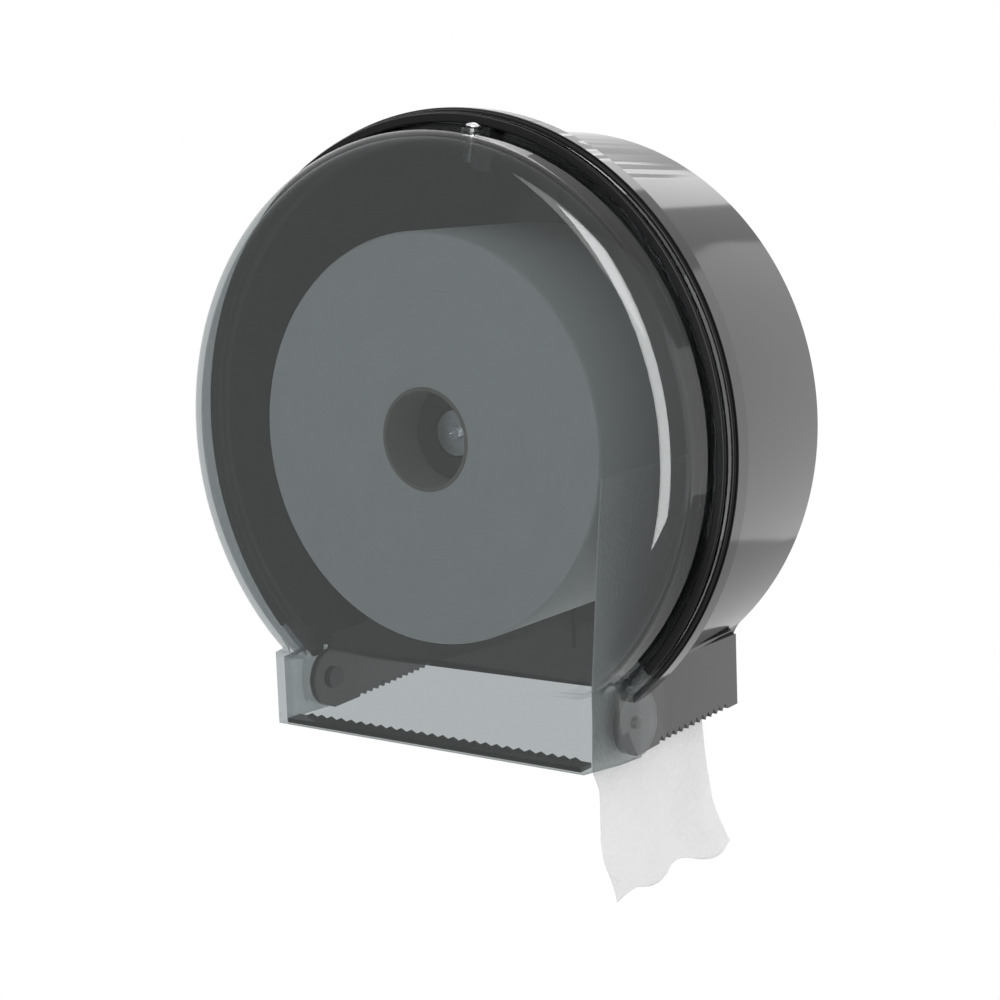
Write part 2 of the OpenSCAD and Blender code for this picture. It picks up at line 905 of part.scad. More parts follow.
module hinge_pin_left() {
    color(METAL)
    mirror([1, 0, 0])
        hinge_pin();
}

module hinge_pin_right() {
    color(METAL)
        hinge_pin();
}

module lock_barrel() {
    dome_r = (lock_head_r * lock_head_r + 1) / 2;
    color(METAL)
    lock_place(0)
        difference() {
            union() {
                translate([0, 0, barrel_bottom])
                    cylinder(r = barrel_r, h = lock_pad_top - barrel_bottom + lock_head_h / 2);
                translate([0, 0, lock_pad_top])
                    intersection() {
                        cylinder(r = lock_head_r, h = lock_head_h);
                        translate([0, 0, lock_head_h - dome_r])
                            sphere(r = dome_r);
                    }
            }
            translate([0, 0, barrel_bottom - eps])
                cylinder(r = cam_screw_r, h = cam_screw_bite + cam_screw_room + eps);
            translate([-lock_head_r, -lock_slot_w / 2, lock_pad_top + lock_head_h - lock_slot_h])
                cube([2 * lock_head_r, lock_slot_w, 2 * lock_slot_h]);
            translate([0, 0, retainer_top - retainer_t])
                difference() {
                    cylinder(r = barrel_r + eps, h = retainer_t);
                    translate([0, 0, -eps])
                        cylinder(r = barrel_r - retainer_grip, h = retainer_t + 2 * eps);
                }
        }
}

module lock_retaining_ring() {
    color(METAL)
    lock_place(retainer_top - retainer_t)
        difference() {
            cylinder(r = retainer_r, h = retainer_t);
            translate([0, 0, -eps])
                cylinder(r = barrel_r - retainer_grip + run_gap, h = retainer_t + 2 * eps);
            translate([-retainer_slot / 2, -retainer_r - eps, -eps])
                cube([retainer_slot, retainer_r + eps, retainer_t + 2 * eps]);
        }
}

// At rest the cam points to the wall, clear of the keeper: the cover is unlocked
module lock_cam() {
    color(METAL)
    lock_place(barrel_bottom - cam_t)
        difference() {
            union() {
                cylinder(r = cam_w / 2, h = cam_t);
                translate([-cam_w / 2, 0, 0])
                    cube([cam_w, cam_reach - cam_w / 2, cam_t]);
                translate([0, cam_reach - cam_w / 2, 0])
                    cylinder(r = cam_w / 2, h = cam_t);
            }
            translate([0, 0, -eps])
                cylinder(r = cam_screw_r + run_gap, h = cam_t + 2 * eps);
        }
}

module lock_cam_screw() {
    color(METAL)
    lock_place(barrel_bottom - cam_t)
        mirror([0, 0, 1])
            small_screw(cam_screw_r, cam_t + cam_screw_bite, cam_screw_head_r, cam_screw_head_h);
}

module keeper_plate() {
    front = keeper_tab_rear + keeper_t;
    color(METAL)
    difference() {
        at_lock_angle() {
            translate([keeper_x, -front, keeper_top - keeper_t])
                cube([keeper_w, front - keeper_rear, keeper_t]);
            translate([keeper_x, -front, keeper_top - keeper_tab_drop])
                cube([keeper_w, keeper_t, keeper_tab_drop]);
        }
        keeper_screw_places()
            translate([0, 0, -keeper_t - eps])
                cylinder(r = screw_r + screw_gap, h = keeper_t + 2 * eps);
    }
}

module keeper_screws() {
    color(METAL)
    keeper_screw_places()
        translate([0, 0, -keeper_t])
            mirror([0, 0, 1])
                small_screw(
                    keeper_screw_r, keeper_t + keeper_screw_bite,
                    keeper_screw_head_r, keeper_screw_head_h
                );
}

rear_housing();
housing_rim_seal();
spindle_base();
spindle_base_screws();
axle_washer();
axle_screw();
core_holder();
roll_core();
paper_roll();
paper_tail();
front_cover();
cover_rim_seal();
tear_strip();
hinge_pin_left();
hinge_pin_right();
lock_barrel();
lock_retaining_ring();
lock_cam();
lock_cam_screw();
keeper_plate();
keeper_screws();
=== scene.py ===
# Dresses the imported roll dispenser: moulded shells, paper, fittings, light and camera.
# Lengths are in metres in the frame's axes: +Z up, +Y into the wall, the cover faces -Y.
import logging
import math
from contextlib import contextmanager
from dataclasses import dataclass, field
from enum import Enum
from typing import Iterator, Sequence

import bmesh
import bpy
from mathutils import Matrix, Vector
from mathutils.noise import noise as noise3

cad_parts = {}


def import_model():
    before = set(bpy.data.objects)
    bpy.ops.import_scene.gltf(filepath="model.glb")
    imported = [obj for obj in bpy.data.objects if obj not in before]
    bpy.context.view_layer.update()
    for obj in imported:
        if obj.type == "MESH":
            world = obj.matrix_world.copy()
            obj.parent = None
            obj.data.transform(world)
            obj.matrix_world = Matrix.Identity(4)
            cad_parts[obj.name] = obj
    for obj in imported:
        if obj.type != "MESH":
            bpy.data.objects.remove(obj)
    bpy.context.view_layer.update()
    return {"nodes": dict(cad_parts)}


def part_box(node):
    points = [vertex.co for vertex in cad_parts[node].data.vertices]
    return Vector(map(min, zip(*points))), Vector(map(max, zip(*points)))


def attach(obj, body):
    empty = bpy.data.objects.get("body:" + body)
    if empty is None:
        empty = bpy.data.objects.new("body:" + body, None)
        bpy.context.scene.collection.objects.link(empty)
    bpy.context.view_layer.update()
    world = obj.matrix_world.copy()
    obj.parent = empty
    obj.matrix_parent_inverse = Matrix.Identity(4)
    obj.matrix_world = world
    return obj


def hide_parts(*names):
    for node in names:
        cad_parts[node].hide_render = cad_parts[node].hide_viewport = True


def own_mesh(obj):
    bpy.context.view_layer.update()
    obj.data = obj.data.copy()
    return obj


MM = 0.001
PAST = 1 * MM  # How far a cutter runs past what it cuts
FAR = 20 * MM  # How far a cutter reaches out into the open
LOG = logging.getLogger("dispenser")

Span = tuple[float, float]
Station = tuple[float, float]
Point = tuple[float, float, float]
Piece = bpy.types.Object
Material = bpy.types.Material
Socket = bpy.types.NodeSocket
Value = float | tuple[float, ...] | Socket


class Side(Enum):
    """The two sides of the dispenser, seen from the front."""

    LEFT = -1
    RIGHT = 1


class Join(Enum):
    """How one solid is joined to another."""

    ADD = "UNION"
    CUT = "DIFFERENCE"


# Workshop: selecting, shaping and joining


def deselect_all() -> None:
    """Deselects every object and leaves edit mode."""
    if bpy.context.object and bpy.context.object.mode != "OBJECT":
        bpy.ops.object.mode_set(mode="OBJECT")
    bpy.ops.object.select_all(action="DESELECT")


def take(piece: Piece) -> None:
    """Makes one object the only selected and active one.

    Args:
        piece: The object to take.
    """
    deselect_all()
    piece.select_set(True)
    bpy.context.view_layer.objects.active = piece


@contextmanager
def editing(piece: Piece) -> Iterator[None]:
    """Opens a piece in edit mode, with all of it selected, and closes it again.

    Args:
        piece: The object to edit.
    """
    take(piece)
    bpy.ops.object.mode_set(mode="EDIT")
    bpy.ops.mesh.select_all(action="SELECT")
    yield
    bpy.ops.object.mode_set(mode="OBJECT")


def pick_faces(piece: Piece, towards: Point) -> None:
    """Selects the faces of a piece in edit mode that look in one direction.

    Args:
        piece: An object in edit mode.
        towards: The direction, one metre long.
    """
    nearly = 0.9
    bpy.ops.mesh.select_all(action="DESELECT")
    bpy.ops.mesh.select_mode(type="FACE")
    mesh = bmesh.from_edit_mesh(piece.data)
    for face in mesh.faces:
        if face.normal.dot(Vector(towards)) > nearly:
            face.select_set(True)
    mesh.select_flush_mode()
    bmesh.update_edit_mesh(piece.data)


def settle(piece: Piece) -> None:
    """Puts a piece's place, turn and scale into its mesh."""
    take(piece)
    bpy.ops.object.transform_apply(location=True, rotation=True, scale=True)


def face_outwards(piece: Piece) -> None:
    """Merges doubles and turns every face outwards."""
    with editing(piece):
        bpy.ops.mesh.remove_doubles(threshold=1e-6)
        bpy.ops.mesh.select_all(action="SELECT")
        bpy.ops.mesh.normals_make_consistent(inside=False)


def turned(name: str, stations: Sequence[Station], sides: int) -> Piece:
    """Models a body of rotation about the drum's axis, by extruding and scaling a disc.

    Args:
        name: The piece's name.
        stations: Radius and depth from the wall of each step, from the first cap to the last.
        sides: Number of sides round the axis.

    Returns:
        The closed piece.
    """
    deselect_all()
    radius, depth = stations[0]
    bpy.ops.mesh.primitive_circle_add(
        vertices=sides,
        radius=radius,
        fill_type="NGON",
        location=(0, -depth, 0),
        rotation=(math.pi / 2, 0, 0),
    )
    piece = bpy.context.object
    piece.name = name
    settle(piece)
    with editing(piece):
        for next_radius, next_depth in stations[1:]:
            bpy.ops.mesh.extrude_region_move(
                TRANSFORM_OT_translate={"value": (0, depth - next_depth, 0)}
            )
            if next_radius != radius:
                scale = next_radius / radius
                bpy.ops.transform.resize(
                    value=(scale, 1, scale), center_override=(0, -next_depth, 0)
                )
            radius, depth = next_radius, next_depth
    face_outwards(piece)
    return piece


def block(name: str, low: Point, high: Point) -> Piece:
    """Adds a block by its lowest and highest corner.

    Args:
        name: The block's name.
        low: Its lowest corner.
        high: Its highest corner.

    Returns:
        The block, with its place in its mesh.
    """
    deselect_all()
    middle = [(a + b) / 2 for a, b in zip(low, high)]
    size = [b - a for a, b in zip(low, high)]
    bpy.ops.mesh.primitive_cube_add(size=1, location=middle, scale=size)
    piece = bpy.context.object
    piece.name = name
    settle(piece)
    return piece


def bar(name: str, start: Point, end: Point, radius: float, sides: int = 48) -> Piece:
    """Adds a round bar between two points.

    Args:
        name: The bar's name.
        start: The middle of one end.
        end: The middle of the other end.
        radius: The bar's radius.
        sides: Number of sides round it.

    Returns:
        The bar, with its place in its mesh.
    """
    deselect_all()
    run = Vector(end) - Vector(start)
    bpy.ops.mesh.primitive_cylinder_add(
        vertices=sides,
        radius=radius,
        depth=run.length,
        location=(Vector(start) + Vector(end)) / 2,
        rotation=run.to_track_quat("Z", "Y").to_euler(),
    )
    piece = bpy.context.object
    piece.name = name
    settle(piece)
    return piece


def joined(target: Piece, tool: Piece, how: Join) -> Piece:
    """Adds a tool solid to a target or cuts it away, and deletes the tool.

    Args:
        target: The solid that stays.
        tool: The solid that is used up.
        how: Whether the tool is added or cut away.

    Returns:
        The target.
    """
    change = target.modifiers.new("join", "BOOLEAN")
    change.operation = how.value
    change.solver = "EXACT"
    change.object = tool
    take(target)
    bpy.ops.object.modifier_apply(modifier=change.name)
    bpy.data.objects.remove(tool)
    return target


def mirrored_to(piece: Piece, side: Side) -> Piece:
    """Leaves a right-hand piece as it is, or turns it into a left-hand one.

    Args:
        piece: A piece on the right.
        side: The side that is wanted.

    Returns:
        The same piece, on that side.
    """
    if side is Side.LEFT:
        piece.scale = (-1, 1, 1)
        settle(piece)
        face_outwards(piece)
    return piece


def ease_edges(piece: Piece, width: float, steps: int, angle: float = 35) -> None:
    """Rounds a piece's sharp edges and smooths its faces.

    Args:
        piece: The piece to finish.
        width: Width of the rounding.
        steps: Number of faces across it.
        angle: Least angle in degrees between two faces that makes an edge sharp.
    """
    change = piece.modifiers.new("ease", "BEVEL")
    change.width = width
    change.segments = steps
    change.limit_method = "ANGLE"
    change.angle_limit = math.radians(angle)
    change.miter_outer = "MITER_ARC"
    take(piece)
    bpy.ops.object.modifier_apply(modifier=change.name)
    smooth(piece, angle)


def smooth(piece: Piece, angle: float = 35) -> None:
    """Shades a piece smooth, with edges kept past an angle in degrees."""
    take(piece)
    bpy.ops.object.shade_smooth_by_angle(angle=math.radians(angle))
    change = piece.modifiers.new("even", "WEIGHTED_NORMAL")
    change.keep_sharp = True
    bpy.ops.object.modifier_apply(modifier=change.name)


# Finishes


class Graph:
    """The nodes of one material or world, with the steps that several finishes share.

    Attributes:
        nodes: The nodes.
        links: The links between them.
        out: The output node.
    """

    def __init__(self, tree: bpy.types.NodeTree, output: str) -> None:
        """Empties a node tree and gives it its output node.

        Args:
            tree: The node tree.
            output: The kind of its output node.
        """
        self.nodes, self.links = tree.nodes, tree.links
        self.nodes.clear()
        self.out = self.nodes.new(output)

    def add(self, kind: str, values: dict[str | int, Value] | None = None) -> bpy.types.Node:
        """Adds a node, sets its sockets and links them.

        Args:
            kind: The kind of node.
            values: A value or another node's socket for each input, by its name or number.

        Returns:
            The node.
        """
        node = self.nodes.new(kind)
        for name, value in (values or {}).items():
            if isinstance(value, Socket):
                self.links.new(value, node.inputs[name])
            else:
                node.inputs[name].default_value = value
        return node

    def place(self) -> Socket:
        """Gives the place on the object."""
        return self.add("ShaderNodeTexCoord").outputs["Object"]

    def noise(self, place: Socket, scale: float, detail: float) -> Socket:
        """Adds a noise texture.

        Args:
            place: The place on the object.
            scale: Its patches in a metre.
            detail: Its detail.

        Returns:
            Its value.
        """
        values = {"Scale": scale, "Detail": detail, "Vector": place}
        return self.add("ShaderNodeTexNoise", values).outputs["Fac"]

    def math(self, operation: str, *values: Value) -> Socket:
        """Works out a number from others.

        Args:
            operation: The name of the operation.
            values: Its numbers, or sockets that give them.

        Returns:
            The result.
        """
        node = self.add("ShaderNodeMath", dict(enumerate(values)))
        node.operation = operation
        return node.outputs["Value"]

    def from_axis(self, place: Socket) -> Socket:
        """Gives the distance of a place from the drum's axis."""
        flat = self.add("ShaderNodeVectorMath", {0: place, 1: (1, 0, 1)})
        flat.operation = "MULTIPLY"
        radius = self.add("ShaderNodeVectorMath", {0: flat.outputs["Vector"]})
        radius.operation = "LENGTH"
        return radius.outputs["Value"]

    def spread(self, pattern: Socket, span: Span) -> Socket:
        """Spreads a pattern between a least and a greatest value."""
        values = {"Value": pattern, "To Min": span[0], "To Max": span[1]}
        return self.add("ShaderNodeMapRange", values).outputs["Result"]

    def bump(self, height: Socket, distance: float, under: Socket | None = None) -> Socket:
        """Raises the surface by a pattern.

        Args:
            height: The pattern.
            distance: The height that it reaches.
            under: The surface that it lies on, or None for the plain one.

        Returns:
            The surface.
        """
        values = {"Height": height, "Distance": distance}
        if under is not None:
            values["Normal"] = under
        return self.add("ShaderNodeBump", values).outputs["Normal"]

    def blend(self, share: Socket, first: Point, second: Point) -> Socket:
        """Blends two colours.

        Args:
            share: The share of the second colour.
            first: One colour.
            second: The other colour.

        Returns:
            The blend.
        """
        node = self.nodes.new("ShaderNodeMix")
        node.data_type = "RGBA"
        node.inputs["A"].default_value = (*first, 1)
        node.inputs["B"].default_value = (*second, 1)
        self.links.new(share, node.inputs["Factor"])
        return node.outputs["Result"]

    def show(self, surface: Socket) -> None:
        """Leads a surface to the output."""
        self.links.new(surface, self.out.inputs["Surface"])

    def show_mix(self, share: Socket, first: Socket, second: Socket) -> None:
        """Leads a mix of two surfaces to the output.

        Args:
            share: The share of the second surface.
            first: One surface.
            second: The other surface.
        """
        mix = self.add("ShaderNodeMixShader", {"Fac": share, 1: first, 2: second})
        self.show(mix.outputs["Shader"])


def new_material(name: str) -> tuple[Material, Graph]:
    """Starts a material.

    Args:
        name: The material's name.

    Returns:
        The material and its nodes.
    """
    made = bpy.data.materials.new(name)
    made.use_nodes = True
    return made, Graph(made.node_tree, "ShaderNodeOutputMaterial")


def shaded(colour: Point, share: float) -> Point:
    """Gives a share of a colour's light."""
    red, green, blue = colour
    return (share * red, share * green, share * blue)


@dataclass(frozen=True)
class Plastic:
    """A moulded plastic with a faint flow texture in its gloss.

    Attributes:
        name: The material's name.
        colour: Its linear colour.
        rough: Its least and greatest roughness.
        flow_size: Patches of the flow texture in a metre.
        shine: Its specular level.
    """

    name: str
    colour: Point
    rough: Span
    flow_size: float = 90.0
    shine: float = 0.5

    def material(self) -> Material:
        """Builds the material."""
        made, graph = new_material(self.name)
        flow = graph.noise(graph.place(), self.flow_size, 1)
        values = {
            "Base Color": (*self.colour, 1),
            "Specular IOR Level": self.shine,
            "Roughness": graph.spread(flow, self.rough),
        }
        graph.show(graph.add("ShaderNodeBsdfPrincipled", values).outputs["BSDF"])
        return made


@dataclass(frozen=True)
class SmokedClear:
    """A clear plastic with a smoke tint: light passes straight through, and its surface shines.

    Attributes:
        name: The material's name.
        tint: Share of light that one of the wall's two surfaces lets through.
        least: Share that each surface mirrors when seen straight on.
        rough: Its least and greatest roughness.
        flow_size: Patches of the flow texture in a metre.
        slant_power: How fast the mirrored share grows as the surface turns away.
    """

    name: str
    tint: Point
    least: float = 0.04
    rough: Span = (0.01, 0.03)
    flow_size: float = 60.0
    slant_power: float = 5.0

    def material(self) -> Material:
        """Builds the material."""
        made, graph = new_material(self.name)
        through = graph.add("ShaderNodeBsdfTransparent", {"Color": (*self.tint, 1)})
        flow = graph.noise(graph.place(), self.flow_size, 1)
        gloss = {"Color": (1, 1, 1, 1), "Roughness": graph.spread(flow, self.rough)}
        shine = graph.add("ShaderNodeBsdfGlossy", gloss)
        facing = graph.add("ShaderNodeLayerWeight", {"Blend": 0.5}).outputs["Facing"]
        slant = graph.math("POWER", facing, self.slant_power)
        share = graph.math("MULTIPLY_ADD", slant, 1 - self.least, self.least)
        graph.show_mix(share, through.outputs["BSDF"], shine.outputs["BSDF"])
        return made


@dataclass(frozen=True)
class Tissue:
    """Soft paper with fibres, a fine crepe and embossed dots.

    Attributes:
        name: The material's name.
        colour: Its linear colour.
        emboss: Height of the embossed dots.
        emboss_size: Dots in a metre.
        layers: Height of the wound layers' edges, or 0 on a sheet.
        fibres: Height of the fibres.
        fibre_size: Fibres in a metre.
        patch_size: Darker patches in a metre.
        patch_shade: Share of its light that the darker patches keep.
        layer_size: Edges of layers in a metre.
    """

    name: str
    colour: Point
    emboss: float
    emboss_size: float
    layers: float = 0.0
    fibres: float = 0.12 * MM
    fibre_size: float = 900.0
    patch_size: float = 45.0
    patch_shade: float = 0.93
    layer_size: float = 1400.0

    def material(self) -> Material:
        """Builds the material."""
        made, graph = new_material(self.name)
        place = graph.place()
        patches = graph.noise(place, self.patch_size, 3)
        dots = graph.add("ShaderNodeTexVoronoi", {"Scale": self.emboss_size, "Vector": place})
        surface = graph.bump(dots.outputs["Distance"], self.emboss)
        surface = graph.bump(graph.noise(place, self.fibre_size, 4), self.fibres, surface)
        if self.layers:
            rings = graph.add("ShaderNodeTexNoise", {"Scale": self.layer_size, "Detail": 3})
            rings.noise_dimensions = "1D"
            graph.links.new(graph.from_axis(place), rings.inputs["W"])
            surface = graph.bump(rings.outputs["Fac"], self.layers, surface)
        values = {
            "Base Color": graph.blend(patches, shaded(self.colour, self.patch_shade), self.colour),
            "Roughness": 0.95,
            "Specular IOR Level": 0.1,
            "Sheen Weight": 0.15,
            "Normal": surface,
        }
        graph.show(graph.add("ShaderNodeBsdfPrincipled", values).outputs["BSDF"])
        return made


@dataclass(frozen=True)
class Metal:
    """A plated metal with a faint brushing, and optionally painted shade nearer the drum's axis.

    Attributes:
        name: The material's name.
        colour: Its linear colour.
        rough: Its least and greatest roughness.
        crown: Distance from the drum's axis past which it keeps its colour, with painted shade nearer
            the axis, or 0 where it has no painted shade.
        shade: Share of its colour that the painted shade leaves nearer the axis.
        streak_size: Streaks of the brushing in a metre.
        stretch: How much finer the streaks are in height.
    """

    name: str
    colour: Point
    rough: Span
    crown: float = 0.0
    shade: float = 0.05
    streak_size: float = 400.0
    stretch: float = 12.0

    def material(self) -> Material:
        """Builds the material."""
        made, graph = new_material(self.name)
        place = graph.place()
        scale = (1, 1, self.stretch)
        finer = graph.add("ShaderNodeMapping", {"Scale": scale, "Vector": place})
        streaks = graph.noise(finer.outputs["Vector"], self.streak_size, 3)
        colour = (*self.colour, 1)
        # Painted shade: nearer the axis than the crown, the colour drops to a share of itself, so
        # only the head stays bright.
        if self.crown:
            clear_of_painted_shade = graph.math("GREATER_THAN", graph.from_axis(place), self.crown)
            colour = graph.blend(clear_of_painted_shade, shaded(self.colour, self.shade), self.colour)
        values = {
            "Base Color": colour,
            "Metallic": 1,
            "Roughness": graph.spread(streaks, self.rough),
        }
        graph.show(graph.add("ShaderNodeBsdfPrincipled", values).outputs["BSDF"])
        return made


def made_once(finish: Plastic | SmokedClear | Tissue | Metal) -> Material:
    """Gives a dataclass field whose value is a finish's material, made with its owner."""
    return field(default_factory=finish.material)


@dataclass
class Finishes:
    """Every finish on the dispenser, each made once."""

    housing: Material = made_once(
        Plastic("gloss black", (0.012, 0.012, 0.013), (0.07, 0.09), shine=0.4)
    )
    cover: Material = made_once(SmokedClear("smoked clear", (0.625, 0.65, 0.655)))
    seal: Material = made_once(
        Plastic("black rubber", (0.008, 0.008, 0.008), (0.28, 0.34), shine=0.12)
    )
    trim: Material = made_once(Plastic("black trim", (0.01, 0.01, 0.011), (0.15, 0.25)))
    holder: Material = made_once(Plastic("matt dark", (0.03, 0.032, 0.034), (0.4, 0.55)))
    steel: Material = made_once(Metal("zinc plate", (0.62, 0.63, 0.65), (0.2, 0.4)))
    # The lock barrel's body nearer the axis than its head gets painted shade, 5 per cent of the
    # chrome's colour.
    chrome: Material = made_once(Metal("chrome", (0.7, 0.7, 0.71), (0.12, 0.2), crown=133.2 * MM))
    blacked: Material = made_once(Metal("blacked steel", (0.06, 0.06, 0.062), (0.3, 0.45)))
    card: Material = made_once(
        Tissue("core card", (0.32, 0.3, 0.26), emboss=0.02 * MM, emboss_size=300)
    )
    roll: Material = made_once(
        Tissue(
            "roll tissue", (0.84, 0.85, 0.84), emboss=0.08 * MM, emboss_size=260, layers=0.2 * MM
        )
    )
    sheet: Material = made_once(
        Tissue("sheet tissue", (0.95, 0.95, 0.95), emboss=0.4 * MM, emboss_size=420)
    )


def dress(piece: Piece, finish: Material, body: str) -> None:
    """Gives a new piece its finish and the body that it rides on.

    Args:
        piece: The piece.
        finish: Its material.
        body: The body that it rides on.
    """
    piece.data.materials.clear()
    piece.data.materials.append(finish)
    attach(piece, body)
    LOG.info("%s: %d faces on %s", piece.name, len(piece.data.polygons), body)


# Shells


@dataclass
class Shell:
    """What the housing and the cover share at their seam, hinges and chins.

    Attributes:
        finishes: The finishes.
        hinge_depth: Depth of the hinge's axis, where the two chins meet.
        hinge_height: Height of the hinge's axis.
        chin_bottom: Height of the mouth's edge there.
        chin_top: Height of the chin's upper end, inside the drum.
        ear: Radius of the cover's hinge ears.
        bend: Radius of the blend between drum and chin.
    """

    finishes: Finishes
    hinge_depth: float = 84 * MM
    hinge_height: float = -119.4 * MM
    chin_bottom: float = -133.8 * MM
    chin_top: float = -99 * MM
    ear: float = 14 * MM
    bend: float = 16 * MM

    def side_blend(self, half: float, radius: float, rear: float, front: float) -> Piece:
        """Makes the right hollow blend between the round body and the chin's side.

        Args:
            half: Half the chin's width.
            radius: Radius of the round body.
            rear: Depth of its rear end.
            front: Depth of its front end.

        Returns:
            The blend as a solid, with its inner corner sunk in both bodies.
        """
        middle_x = half + self.bend
        middle_z = -math.sqrt((radius + self.bend) ** 2 - middle_x**2)
        touch_z = middle_z * radius / (radius + self.bend)
        sunk = 3 * MM
        wedge = block("blend", (half - sunk, -front, middle_z), (middle_x, -rear, touch_z))
        ends = [(middle_x, -front - PAST, middle_z), (middle_x, -rear + PAST, middle_z)]
        return joined(wedge, bar("hollow", *ends, self.bend, 64), Join.CUT)

    def at_seam(self, piece: Piece, tilt: float) -> Piece:
        """Moves a piece from the origin to the seam's lower edge and tilts it.

        Args:
            piece: The piece, drawn with the mouth's edge along Y.
            tilt: The tilt in radians, above 0 where the edge rises towards the wall.

        Returns:
            The same piece.
        """
        place = Matrix.Translation((0, -self.hinge_depth, self.chin_bottom))
        piece.data.transform(place @ Matrix.Rotation(tilt, 4, "X"))
        return piece

    def hinge_bar(
        self, side: Side, start: float, end: float, radius: float, sides: int = 96
    ) -> Piece:
        """Models a bar along the hinge's axis.

        Args:
            side: The side that it is on.
            start: Its start, from the middle of the dispenser.
            end: Its end, from the same middle.
            radius: Its radius.
            sides: Number of sides round it.

        Returns:
            The bar.
        """
        ends = [(side.value * x, -self.hinge_depth, self.hinge_height) for x in (start, end)]
        return bar("hinge bar", *ends, radius, sides)


@dataclass
class Housing(Shell):
    """The black rear housing, with its rim ring, chin, hinge ears and toothed edges.

    Attributes:
        drum: Radius of the round wall behind the rim ring.
        drum_rear: Radius of the round wall at the wall plate.
        ring: Radius of the rim ring.
        ring_width: Width of the rim ring.
        depth: Depth of the housing.
        wall: Wall thickness.
        tongue_outer: Outer radius of the tongue that stands in the cover.
        tongue_inner: Its inner radius.
        tongue_front: Depth of its front edge.
        chin_half: Half the chin's width beside the hinges.
        chin_flare: How much further each side of it stands out at the wall.
        chin_side: Sideways reach of the room for the cover's chin.
        chin_lift: How far the mouth's edge rises towards the wall.
        flat_rear: Depth from which the chin's sides are parallel.
        ear_inset: How much smaller the housing's ears are.
        ear_room: Gap round the cover's ears.
        bore: Radius of the hinge pins' bores.
        reach: How far the chin's room runs on past its front and bottom.
        seat: How far the chin's room runs up past its top.
        teeth: Number of teeth on each side.
        tooth_pitch: Distance between two teeth.
        tooth_height: Their height.
        tooth_ledge: Plain length of edge in front of them.
        rib_span: Distances from the drum's axis at which a rib starts and ends.
        rib_height: Height of the wall plate's ribs.
        screw_x: Sideways place of the wall screws.
        screw_z: Height of the wall screws.
        screw_bore: Radius of their holes.
        pad: Radius of the pads round the holes.
        pad_height: Height of the pads.
        softness: Width of the rounding on its edges.
        sides: Number of sides round the drum.
    """

    drum: float = 131 * MM
    drum_rear: float = 128.5 * MM
    ring: float = 139.5 * MM
    ring_width: float = 8 * MM
    depth: float = 91 * MM
    wall: float = 3 * MM
    tongue_outer: float = 129 * MM
    tongue_inner: float = 126.6 * MM
    tongue_front: float = 96.5 * MM
    chin_half: float = 84 * MM
    chin_flare: float = 2 * MM
    chin_side: float = 87.2 * MM
    chin_lift: float = 2.5 * MM
    flat_rear: float = 60 * MM
    ear_inset: float = 0.5 * MM
    ear_room: float = 0.8 * MM
    bore: float = 3.05 * MM
    reach: float = 30 * MM
    seat: float = 6 * MM
    teeth: int = 11
    tooth_pitch: float = 4.8 * MM
    tooth_height: float = 3 * MM
    tooth_ledge: float = 20.5 * MM
    rib_span: Span = (26 * MM, 114 * MM)
    rib_height: float = 3 * MM
    screw_x: float = 75 * MM
    screw_z: float = 65 * MM
    screw_bore: float = 2.75 * MM
    pad: float = 6.75 * MM
    pad_height: float = 2 * MM
    softness: float = 0.5 * MM
    sides: int = 224

    def build(self) -> None:
        """Models and dresses the housing."""
        shell = self.outer_drum()
        joined(shell, self.chin_block("chin", 0, 0), Join.ADD)
        for side in Side:
            front = self.depth - self.ring_width
            blend = self.side_blend(self.chin_half, self.drum_rear, 0, front)
            joined(shell, mirrored_to(blend, side), Join.ADD)
        joined(shell, self.inner_drum(), Join.CUT)
        joined(shell, self.chin_block("chin room", self.wall, self.reach), Join.CUT)
        below = block(
            "below", (-self.ring, -PAST, -self.reach), (self.ring, self.depth + 2 * PAST, 0)
        )
        tilt = math.atan(self.chin_lift / self.hinge_depth)
        joined(shell, self.at_seam(below, tilt), Join.CUT)
        self.add_ears(shell)
        self.cut_teeth(shell, tilt)
        self.add_wall_plate_detail(shell)
        shell.name = "housing_shell"
        ease_edges(shell, self.softness, 2)
        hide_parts("rear_housing")
        dress(shell, self.finishes.housing, "housing")

    def outer_drum(self) -> Piece:
        """Models the filled outer drum and cuts its round rim away at the chin."""
        drum = turned(
            "drum",
            [
                (self.drum_rear, 0),
                (self.drum, self.depth - self.ring_width),
                (self.ring, self.depth - self.ring_width),
                (self.ring, self.depth),
                (self.tongue_outer, self.depth),
                (self.tongue_outer, self.tongue_front),
            ],
            self.sides,
        )
        gap = block(
            "below chin",
            (-self.chin_half, -self.depth - FAR, self.chin_bottom - FAR),
            (self.chin_half, PAST, self.chin_bottom),
        )
        joined(drum, gap, Join.CUT)
        mouth = block(
            "front of chin",
            (-self.chin_side, -self.depth - FAR, self.chin_bottom - FAR),
            (self.chin_side, self.ring_width - self.depth, self.chin_top + self.seat),
        )
        return joined(drum, mouth, Join.CUT)

    def inner_drum(self) -> Piece:
        """Models the room inside the drum."""
        return turned(
            "room",
            [
                (self.drum_rear - self.wall, self.wall),
                (self.drum - self.wall, self.depth - self.ring_width),
                (self.tongue_inner, self.depth - self.ring_width),
                (self.tongue_inner, self.tongue_front + 5 * PAST),
            ],
            self.sides,
        )

